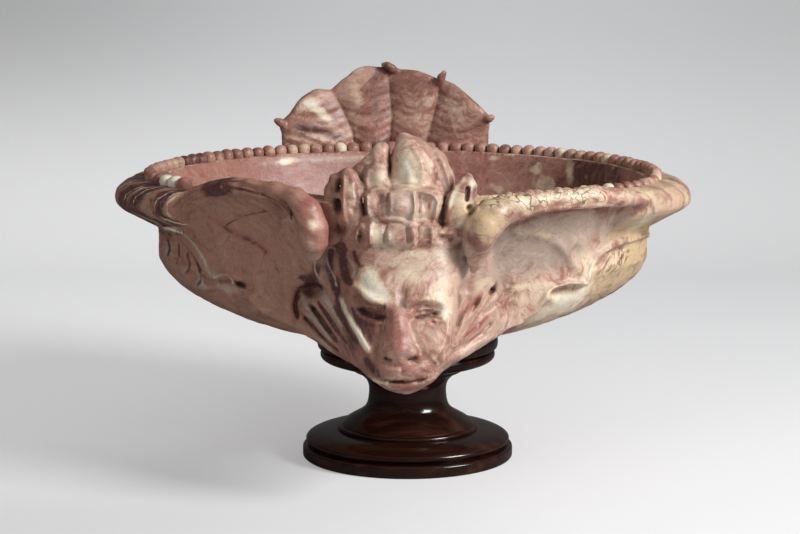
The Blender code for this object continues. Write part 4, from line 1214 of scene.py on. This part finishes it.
# Painted shade is added along the creases between the lobes.
crease_shade = sum(stroke(across, height, line[::-1], 3.0, 0.6) for line in FAN_CREASES[1:4])
bow = height + 9.0 * np.abs(np.sin(math.pi * (across - 4) / 60))
grown = ease((growth_lines(bow) - 0.2) / 0.4) * ease((380 - height) / 60)
FAN_CREAM = [
    (-94, 350, 14, 7, 1.0, 25), (-76, 338, 16, 6, 1.3, -35), (-34, 362, 12, 18, 0.5),
    (84, 346, 16, 14, 0.5),
]
FAN_PALE = [
    (-38, 350, 20, 34, 1.0), (32, 358, 20, 20, 0.7), (84, 344, 22, 22, 1.0), (-84, 310, 26, 10, 0.8),
]
FAN_MAROON = [
    (-104, 322, 16, 12, 0.8, -20), (-70, 316, 22, 6, 0.8, -20), (28, 312, 26, 12, 0.6),
    (-12, 340, 6, 30, 0.4),
]
cream, pale, maroon = (
    sum(bump(across, height, *row) for row in rows) for rows in (FAN_CREAM, FAN_PALE, FAN_MAROON)
)
tail_fan = new_mesh("tail_fan", points, faces, {
    "hollow": np.clip(hollow + crease_shade, 0, 1),
    "cream": cream,
    "maroon": grown * 0.14 + maroon,
    "brown": np.full(len(points), 0.2),
    "grey": pale * 0.6,
    "pale": pale,
    "rose": np.full(len(points), 0.3) + bump(across, height, 25, 312, 40, 14, 0.7),
})
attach(tail_fan, "root")
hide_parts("tail_fan")

# The beads. A row of small knobs is cut from the same stone along the rim, each a little different.
BEAD_RING = 263.0
BEAD_R = 7.4
BEAD_PITCH = 14.9
BEAD_Z = RIM_Z + 3.0
BEAD_ENDS = (math.radians(-49), math.radians(216))
BEAD_SQUARENESS = 0.86


def rim_place(radius, angle, z):
    """A point of the rim's plan, which is drawn in at the front."""
    y = radius * math.sin(angle)
    return np.array([radius * math.cos(angle), y * (FRONT_RATIO if y < 0 else 1.0), z])


angles = np.linspace(*BEAD_ENDS, 4000)
track = np.array([rim_place(BEAD_RING, angle, BEAD_Z) for angle in angles])
run = np.concatenate([[0], np.cumsum(np.linalg.norm(np.diff(track, axis=0), axis=1))])
count = round(run[-1] / BEAD_PITCH)
random = np.random.default_rng(7)
ROUND, TALL = 18, 11


def along_rim(length):
    """The point of the rim's run at a length from its right-hand end."""
    return np.array([np.interp(length, run, track[:, axis]) for axis in range(3)])


def bead(middle, ahead, size, tilt):
    """The points of a squarish round knob, from its top to its underside."""
    aside = np.array([ahead[1], -ahead[0], 0.0])
    up = np.array([0.0, 0.0, 1.0])
    spots = []
    for row in range(TALL + 1):
        polar = math.pi * row / TALL
        for col in range(ROUND if 0 < row < TALL else 1):
            turn = 2 * math.pi * col / ROUND
            out = math.sin(polar)
            spots.append((out * math.cos(turn), out * math.sin(turn), math.cos(polar)))
    spots = np.array(spots)
    spots = np.sign(spots) * np.abs(spots) ** BEAD_SQUARENESS * size
    return middle + spots @ np.array([ahead + up * tilt[0], aside + up * tilt[1], up])


def bead_faces(first):
    """The faces between a bead's points, whose numbers start at the first."""
    rings = [[first] * ROUND]
    for row in range(TALL - 1):
        rings.append([first + 1 + row * ROUND + col for col in range(ROUND)])
    rings.append([first + 1 + (TALL - 1) * ROUND] * ROUND)
    sides = []
    for above, below in zip(rings, rings[1:]):
        for col in range(ROUND):
            after = (col + 1) % ROUND
            if above[col] != above[after]:
                sides.append((above[col], below[col], above[after]))
            if below[col] != below[after]:
                sides.append((below[col], below[after], above[after]))
    return sides


# The beads at the right-hand end are worn low, the last three at the left-hand end are larger, and
# three beads are pale cream.
WORN_SHARE = 0.16
CREAM_BEADS = (count - 2, count - 3, count - 31)
points, faces, tone, bead_contact_shade = [], [], [], []
for n in range(count):
    length = (n + 0.5) * run[-1] / count
    middle = along_rim(length)
    ahead = along_rim(length + 3) - middle
    ahead /= np.linalg.norm(ahead)
    worn = ease((count * WORN_SHARE - n) / 4)
    size = BEAD_R * random.uniform(0.92, 1.04, 3) * (1.0 + 0.08 * (n >= count - 3)) * (1.0 - 0.12 * worn)
    sunk = np.array([0.0, 0.0, 3.8 * worn])
    faces += bead_faces(sum(len(part) for part in points))
    points.append(bead(middle - sunk, ahead, size, random.uniform(-0.12, 0.12, 2)))
    gap = np.abs((points[-1] - middle) @ ahead) / BEAD_R
    bead_contact_shade.append(ease((gap - 0.6) / 0.4))
    cream = random.uniform(0, 0.58) + 0.3 * worn + 0.25 * ease((60 - abs(n - count * 0.3) * 8) / 40)
    if n in CREAM_BEADS:
        cream = 1.1
    tone.append(np.full((len(points[-1]), 2), (cream, random.uniform(0, 1))))
points, tone = np.concatenate(points), np.concatenate(tone)
# The undersides of the beads, and their ends where they meet their neighbours, get painted shade.
bead_underside_shade = ease((BEAD_Z - 1.0 - points[:, 2]) / BEAD_R)
beads = new_mesh("bead_moulding", points + unevenness(points)[:, None] * 0.3, np.array(faces), {
    "hollow": np.maximum(bead_underside_shade * 0.9, np.concatenate(bead_contact_shade) * 0.8),
    "cream": ease((tone[:, 0] - 0.45) / 0.6),
    "ochre": ease((tone[:, 0] - 0.3) / 0.4) * 0.9,
    "maroon": ease((tone[:, 1] - 0.6) / 0.4) * ease((0.7 - tone[:, 0]) / 0.4) * 0.85,
    "rose": 1.2 * tone[:, 1] * ease((0.8 - tone[:, 0]) / 0.4),
    "pale": 0.7 * tone[:, 1],
    "brown": 0.35 * ease((0.5 - tone[:, 0]) / 0.4),
})
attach(beads, "root")
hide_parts("bead_moulding")


# The marble. A dusty pink breccia with paler clouds, thin cream veins and maroon patches. Painted
# shade and dirt lie in the hollows of the carving, and its polish is soft.
class Value:
    """The output of a material's node, on which sums are written as on numbers."""

    def __init__(self, tree, socket):
        self.tree = tree
        self.socket = socket

    def sum_with(self, other, operation, swapped=False):
        node = self.tree.nodes.new("ShaderNodeMath")
        node.operation = operation
        for socket, value in zip(node.inputs, (other, self) if swapped else (self, other)):
            connect(socket, value)
        return Value(self.tree, node.outputs[0])

    def __add__(self, other):
        return self.sum_with(other, "ADD")

    def __sub__(self, other):
        return self.sum_with(other, "SUBTRACT")

    def __mul__(self, other):
        return self.sum_with(other, "MULTIPLY")

    def __rsub__(self, other):
        return self.sum_with(other, "SUBTRACT", swapped=True)

    def __abs__(self):
        return self.sum_with(0.0, "ABSOLUTE")

    __radd__ = __add__


def connect(socket, value):
    """A node's output is linked to the socket, and a plain value is set on it."""
    if isinstance(value, Value):
        value.tree.links.new(value.socket, socket)
    elif isinstance(value, tuple) and socket.type == "RGBA":
        socket.default_value = (*value[:3], 1.0)
    else:
        socket.default_value = value


class Finish:
    """A material, written as the nodes and sums that make its look."""

    def __init__(self, name):
        self.material = bpy.data.materials.new(name)
        self.material.use_nodes = True
        self.tree = self.material.node_tree
        self.surface = self.tree.nodes["Principled BSDF"]

    def node(self, kind, settings=None, links=None, output=0):
        node = self.tree.nodes.new(kind)
        for key, value in (settings or {}).items():
            if key == "stops":
                ramp = node.color_ramp
                while len(ramp.elements) < len(value):
                    ramp.elements.new(0.5)
                for element, (place, tone) in zip(ramp.elements, value):
                    element.position = place
                    element.color = (*tone, 1.0)
            else:
                setattr(node, key, value)
        for key, value in (links or {}).items():
            connect(node.inputs[key], value)
        return Value(self.tree, node.outputs[output])

    def place(self):
        return self.node("ShaderNodeTexCoord", output="Object")

    def noise(self, place, scale, detail=4.0, rough=0.55, output=0):
        links = {"Vector": place, "Scale": scale, "Detail": detail, "Roughness": rough}
        return self.node("ShaderNodeTexNoise", links=links, output=output)

    def mix(self, one, other, share):
        return self.node("ShaderNodeMix", {"data_type": "RGBA"}, {0: share, 6: one, 7: other}, output=2)

    def fade(self, value, low, high):
        """From 0 at low to 1 at high, smoothly."""
        links = {"Value": value, "From Min": low, "From Max": high}
        return self.node("ShaderNodeMapRange", {"interpolation_type": "SMOOTHSTEP"}, links)

    def tint(self, name):
        return self.node("ShaderNodeAttribute", {"attribute_name": name}, output="Fac")

    def vectors(self, operation, links):
        return self.node("ShaderNodeVectorMath", {"operation": operation}, links)

    def shifted(self, place, scale, amount):
        """Places moved about at random, which bends any pattern drawn on them."""
        wander = self.noise(place, scale, 3.0, 0.5, output="Color")
        centred = self.vectors("SUBTRACT", {0: wander, 1: (0.5, 0.5, 0.5)})
        moved = self.vectors("SCALE", {0: centred, "Scale": amount})
        return self.vectors("ADD", {0: place, 1: moved})

    def finish(self, **sockets):
        for key, value in sockets.items():
            connect(self.surface.inputs[key.replace("_", " ")], value)
        return self.material


ROSE_DARK = (0.150, 0.062, 0.046)
ROSE = (0.34, 0.158, 0.118)
PINK = (0.53, 0.305, 0.232)
SHELL = (0.68, 0.485, 0.375)
CREAM = (0.76, 0.60, 0.43)
IVORY = (0.84, 0.77, 0.62)
OCHRE = (0.60, 0.435, 0.255)
MAROON = (0.105, 0.036, 0.032)
RED = (0.36, 0.13, 0.105)
BROWN = (0.385, 0.192, 0.136)
GREY = (0.45, 0.335, 0.27)
CRACK = (0.11, 0.055, 0.032)
SHADE_AND_DIRT_TONE = (0.062, 0.036, 0.027)

marble = Finish("breccia_marble")
where = marble.place()
bent = marble.shifted(where, 8.0, 0.11)
twisted = marble.shifted(bent, 24.0, 0.05)
clouds = marble.noise(bent, 12.0, 5.0, 0.6)
mottle = marble.noise(twisted, 34.0, 7.0, 0.68)
fleck = marble.noise(twisted, 130.0, 5.0, 0.7)
grain = marble.noise(where, 420.0, 3.0, 0.6)
pale = marble.tint("pale")
shade = clouds * 0.45 + mottle * 0.75 + fleck * 0.35 - 0.275 + pale * 0.075
base = marble.node("ShaderNodeValToRGB", {
    "stops": [(0.34, ROSE_DARK), (0.43, ROSE), (0.50, ROSE), (0.565, PINK), (0.64, SHELL), (0.72, CREAM)],
}, {"Fac": shade})


def layer(base, tone, amount, ragged, low, high):
    """A tone laid on where its amount is high, with a ragged border."""
    torn = amount + (mottle - 0.5) * ragged + (fleck - 0.5) * 0.3
    return marble.mix(base, tone, marble.fade(torn, low, high))


# Angular fragments, some dark and some pale, lie under the tints.
patch = marble.node("ShaderNodeTexVoronoi", links={"Vector": twisted, "Scale": 15.0}, output="Color")
patch_tone = marble.node("ShaderNodeSeparateColor", links={"Color": patch})
base = marble.mix(base, ROSE_DARK, marble.fade(patch_tone, 0.6, 0.85) * (0.4 - pale * 0.3))
base = marble.mix(base, SHELL, marble.fade(patch_tone, 0.3, 0.08) * 0.35)
cream = marble.tint("cream")
base = layer(base, BROWN, marble.tint("brown") * 0.62, 1.4, 0.1, 0.75)
base = layer(base, GREY, marble.tint("grey") * 0.7, 1.2, 0.2, 0.8)
base = layer(base, OCHRE, marble.tint("ochre") * 0.62, 2.6, 0.3, 0.95)
base = layer(base, RED, marble.tint("rose") * 0.5, 1.8, 0.1, 0.9)
base = layer(base, MAROON, marble.tint("maroon") * 0.8, 1.8, 0.25, 0.75)
base = layer(base, CREAM, cream * 0.85, 1.5, 0.15, 0.75)
base = layer(base, IVORY, cream * 0.75, 1.6, 0.5, 0.95)

# Thin veins run where the clouds let them. Fewer pale ones show on brown and fewer dark on cream.
streak_run = marble.noise(bent, 9.0, 6.0, 0.6)
streaks = marble.fade(abs(streak_run - 0.52), 0.035, 0.004) * marble.fade(mottle, 0.44, 0.58)
vein_run = marble.noise(twisted, 16.0, 5.0, 0.6)
veins = marble.fade(abs(vein_run - 0.48), 0.014, 0.002) * marble.fade(clouds, 0.42, 0.56)
dark_run = marble.noise(twisted, 21.0, 6.0, 0.62)
dark_veins = marble.fade(abs(dark_run - 0.5), 0.014, 0.002) * marble.fade(clouds, 0.6, 0.45)
calm = 1.0 - marble.fade(marble.tint("brown"), 0.2, 0.8) * 0.7
unspoilt = 1.0 - marble.fade(cream + pale * 0.7, 0.2, 0.8) * 0.8
base = marble.mix(base, SHELL, streaks * calm * 0.18)
base = marble.mix(base, IVORY, veins * calm * 0.16)
base = marble.mix(base, MAROON, dark_veins * unspoilt * 0.35)

# Fine threads run down from both wing tips towards the head. Where they are drawn in strongly they
# become a close hatching of cream and dark lines.
mirrored = marble.vectors("ABSOLUTE", {0: bent})
slanted = marble.node("ShaderNodeMapping", {"vector_type": "TEXTURE"}, {
    "Vector": mirrored, "Rotation": (0.0, -0.6, 0.0), "Scale": (6.0, 1.0, 1.0),
})
drawn_in = marble.tint("threaded")
thread = marble.noise(slanted, 120.0, 5.0, 0.65)
threaded = 0.2 + drawn_in * 0.5 + marble.fade(clouds, 0.45, 0.6) * 0.15
hatch = marble.noise(slanted, 330.0, 2.0, 0.5)
hatched = marble.fade(drawn_in, 0.6, 1.4) * 0.7
base = marble.mix(base, ROSE_DARK, marble.fade(thread, 0.53, 0.68) * threaded)
base = marble.mix(base, SHELL, marble.fade(thread, 0.46, 0.32) * threaded * 0.6)
base = marble.mix(base, CREAM, marble.fade(hatch, 0.48, 0.38) * hatched)
base = marble.mix(base, CRACK, marble.fade(hatch, 0.52, 0.62) * hatched)

# A net of fine cracks shows on the rolled edge of one wing.
cells = marble.node("ShaderNodeTexVoronoi", {"feature": "DISTANCE_TO_EDGE"}, {
    "Vector": twisted, "Scale": 95.0,
})
cracked = marble.fade(mottle, 0.4, 0.52) * marble.fade(marble.tint("cracked"), 0.3, 0.9)
base = marble.mix(base, CRACK, marble.fade(cells, 0.075, 0.02) * cracked * 0.85)

# Specks and grain lie over all of it, and painted shade with dirt in the hollows of the carving.
base = marble.mix(base, MAROON, marble.fade(fleck, 0.57, 0.7) * unspoilt * 0.35)
base = marble.mix(base, ROSE_DARK, marble.fade(grain, 0.56, 0.7) * 0.35)
base = marble.mix(base, SHELL, marble.fade(grain, 0.42, 0.3) * 0.2)
hollow = marble.tint("hollow")
base = marble.mix(base, SHADE_AND_DIRT_TONE, marble.fade(hollow + (mottle - 0.5) * 0.5, 0.25, 1.1) * 0.7)
fine_relief = marble.noise(twisted, 140.0, 5.0, 0.7)
bumped = marble.node("ShaderNodeBump", links={"Strength": 0.5, "Distance": 0.0012, "Height": fine_relief})
marble.finish(
    Base_Color=base,
    Roughness=0.38 + (mottle - 0.5) * 0.4 + hollow * 0.3,
    Normal=bumped,
)
for piece in (block, tail_fan, beads):
    piece.data.materials.append(marble.material)

# The stand. Turned hardwood, stained nearly black and wax polished, in four parts glued together: a
# plinth disc, a domed foot that ends in a bead, a waisted stem with its cup, and a collar. Their
# sides are (radius, height), from the bottom up.
PLINTH_SIDE = [(109.6, 0), (110.8, 1.2), (111, 3), (111, 9.5), (110.2, 11.4), (108.4, 12.6), (104, 13)]
FOOT_SIDE = [
    (102.2, 13.35), (102.4, 14.2), (104.4, 15.2), (106.8, 16.8), (107.5, 18.8), (106.9, 20.6),
    (105, 22.2), (101, 24.2), (94, 26.4), (86, 28), (78, 29), (73.6, 29.5), (73.6, 29.5), (74.5, 30.6),
    (74.4, 32), (73.2, 33.2), (70.8, 33.5),
]
STEM_SIDE = [
    (70.5, 33.85), (69.5, 35), (66.5, 37.5), (62, 40.5), (56, 43.9), (51.5, 46.4), (47.4, 49.4),
    (44.2, 53), (42.2, 58), (41.1, 64), (40.7, 70), (41.2, 75.5), (43.2, 81), (46.5, 84.8),
    (49.6, 87.6), (53, 89.6), (57, 91.3), (59.4, 93), (59.8, 94.6), (61, 95.4), (66, 96.4), (75, 99),
    (82, 101.2), (88.2, 103.6), (91.3, 106.4), (92, 109.5), (91, 113),
]
COLLAR_SIDE = [
    (88, 113.35), (88.6, 114.6), (92, 115.6), (94.2, 117.2), (95, 120), (95.2, 123), (94.8, 126),
    (92.6, 128.65),
]
ESPRESSO = (0.016, 0.0052, 0.0035)
CHESTNUT = (0.075, 0.024, 0.013)
LATHE_STEPS = 160

wood = Finish("dark_polished_wood")
along = wood.node("ShaderNodeMapping", links={"Vector": wood.place(), "Scale": (9.0, 60.0, 60.0)})
figure = wood.noise(along, 1.4, 5.0, 0.6)
wood.finish(
    Base_Color=wood.mix(ESPRESSO, CHESTNUT, wood.fade(figure, 0.42, 0.78) * 0.7),
    Roughness=0.13 + figure * 0.12,
    Coat_Weight=0.2,
)


def turned_part(name, side):
    """A solid turned on the lathe, from its side."""
    side = curve_through(side, 4)
    turns = np.arange(LATHE_STEPS) * 2 * math.pi / LATHE_STEPS
    rings = [(r * math.cos(t), r * math.sin(t), z) for r, z in side for t in turns]
    ends = [(0, 0, side[0, 1]), (0, 0, side[-1, 1])]
    bottom = len(rings)
    faces = []
    for n in range(LATHE_STEPS):
        after = (n + 1) % LATHE_STEPS
        for row in range(len(side) - 1):
            a, b = row * LATHE_STEPS, (row + 1) * LATHE_STEPS
            faces += [(a + n, a + after, b + n), (a + after, b + after, b + n)]
        last = (len(side) - 1) * LATHE_STEPS
        faces += [(bottom, after, n), (bottom + 1, last + n, last + after)]
    piece = new_mesh(name, np.array(rings + ends) - (STONE_X, 0, 0), np.array(faces), {})
    piece.data.set_sharp_from_angle(angle=math.radians(50))
    piece.data.materials.append(wood.material)
    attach(piece, "root")
    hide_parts(name)


turned_part("plinth", PLINTH_SIDE)
turned_part("foot", FOOT_SIDE)
turned_part("stem", STEM_SIDE)
turned_part("collar", COLLAR_SIDE)

# The studio. A pale paper sweep runs under the basin and up behind it, lit by a large soft light at
# the right and front and a weaker one at the left.
SWEEP_HALF = 4.0
SWEEP_FRONT_Y = -3.0
SWEEP_BEND_Y = 1.2
SWEEP_BEND_R = 0.8
SWEEP_TOP_Z = 3.5
section = [(SWEEP_FRONT_Y, 0.0), (SWEEP_BEND_Y, 0.0)]
for turn in np.linspace(0.1, math.pi / 2, 12):
    section.append((SWEEP_BEND_Y + SWEEP_BEND_R * math.sin(turn), SWEEP_BEND_R * (1 - math.cos(turn))))
section.append((SWEEP_BEND_Y + SWEEP_BEND_R, SWEEP_TOP_Z))
bm = bmesh.new()
rows = []
for y, z in section:
    rows.append([bm.verts.new((x, y, z)) for x in (-SWEEP_HALF, SWEEP_HALF)])
for a, b in zip(rows, rows[1:]):
    bm.faces.new((a[0], a[1], b[1], b[0]))
sweep_mesh = bpy.data.meshes.new("backdrop")
bm.to_mesh(sweep_mesh)
bm.free()
sweep_mesh.shade_smooth()
backdrop = bpy.data.objects.new("backdrop", sweep_mesh)
bpy.context.scene.collection.objects.link(backdrop)

# The paper is white, with painted shade that darkens it up behind, at both sides and close in front.
# It glows faintly for the camera alone, a painted light that is stronger on the floor at the left,
# where it lifts the shadow. Seen in the marble's polish it is dark. Its back is clear, so that the
# basin can be looked at from behind.
PAPER_WHITE = (0.70, 0.705, 0.715)
PAPER_MIRRORED = (0.14, 0.14, 0.14)
BLACK, WHITE = (0, 0, 0), (1, 1, 1)
paper = Finish("backdrop_paper")
for_camera, for_mirror = (
    paper.node("ShaderNodeLightPath", output=name) for name in ("Is Camera Ray", "Is Glossy Ray")
)
where = paper.node("ShaderNodeSeparateXYZ", links={0: paper.place()}).socket.node
aside, depth, height = (Value(paper.tree, where.outputs[axis]) for axis in "XYZ")
up = paper.fade(height, 0.02, 0.42)
near = paper.fade(depth, 0.1, -0.3)
left = paper.fade(aside, 0.2, -0.35)
far_left = paper.fade(aside, -0.1, -0.8)
far_right = paper.fade(aside, 0.1, 0.85)
# Painted light: the glow, raised on the floor at the left. Painted shade: the tone, darker up behind, at the
# sides and in front.
painted_glow = 0.225 - up * 0.13 + (1.0 - up) * left * 0.10 * (1.0 - near)
tone = 1.0 - up * 0.12 - up * far_left * 0.2 - far_right * 0.17 - near * (0.04 + left * 0.14)
paper.finish(
    Base_Color=paper.mix(BLACK, paper.mix(PAPER_WHITE, PAPER_MIRRORED, for_mirror), tone),
    Roughness=0.9,
    Specular_IOR_Level=0.2,
    Alpha=1.0 - paper.node("ShaderNodeNewGeometry", output="Backfacing"),
    Emission_Color=paper.mix(BLACK, WHITE, for_camera * painted_glow),
    Emission_Strength=1.0,
)
sweep_mesh.materials.append(paper.material)


def lamp(name, place, target, size, power, mirrored=True):
    """A square soft light that faces its target."""
    light = bpy.data.lights.new(name, "AREA")
    light.size = size
    light.energy = power
    holder = bpy.data.objects.new(name, light)
    holder.location = place
    holder.visible_glossy = mirrored
    holder.rotation_euler = (Vector(target) - Vector(place)).to_track_quat("-Z", "Y").to_euler()
    bpy.context.scene.collection.objects.link(holder)


BASIN_MIDDLE = (0, 0, 0.2)
lamp("key", (1.92, -1.12, 1.55), BASIN_MIDDLE, 0.9, 69)
lamp("fill", (-1.2, -2.0, 1.3), BASIN_MIDDLE, 1.5, 7, mirrored=False)

# The room around is an even white, and dim where it would show in the polish.
ROOM_LIGHT = 0.29
ROOM_MIRRORED = (0.12, 0.12, 0.12, 1)
world = bpy.data.worlds.new("studio")
bpy.context.scene.world = world
world.use_nodes = True
sky = world.node_tree.nodes["Background"]
glossy = world.node_tree.nodes.new("ShaderNodeLightPath").outputs["Is Glossy Ray"]
dimmed = world.node_tree.nodes.new("ShaderNodeMix")
dimmed.data_type = "RGBA"
dimmed.inputs[6].default_value = (1, 1, 1, 1)
dimmed.inputs[7].default_value = ROOM_MIRRORED
world.node_tree.links.new(glossy, dimmed.inputs[0])
world.node_tree.links.new(dimmed.outputs[2], sky.inputs["Color"])
sky.inputs["Strength"].default_value = ROOM_LIGHT

# The camera. It stands a little above the basin and looks slightly down. It was fitted to the round
# rims of the bowl and the stand.
LENS = 99.708
LOOK_DOWN = math.radians(8.9375)
camera = bpy.data.objects.new("camera", bpy.data.cameras.new("camera"))
camera.data.sensor_width = 36.0
camera.data.lens = LENS
camera.location = (-0.0080, -2.2964, 0.5618)
camera.rotation_euler = (math.pi / 2 - LOOK_DOWN, 0.0, 0.0)
bpy.context.scene.collection.objects.link(camera)
bpy.context.scene.camera = camera
bpy.context.scene.view_settings.view_transform = "Standard"
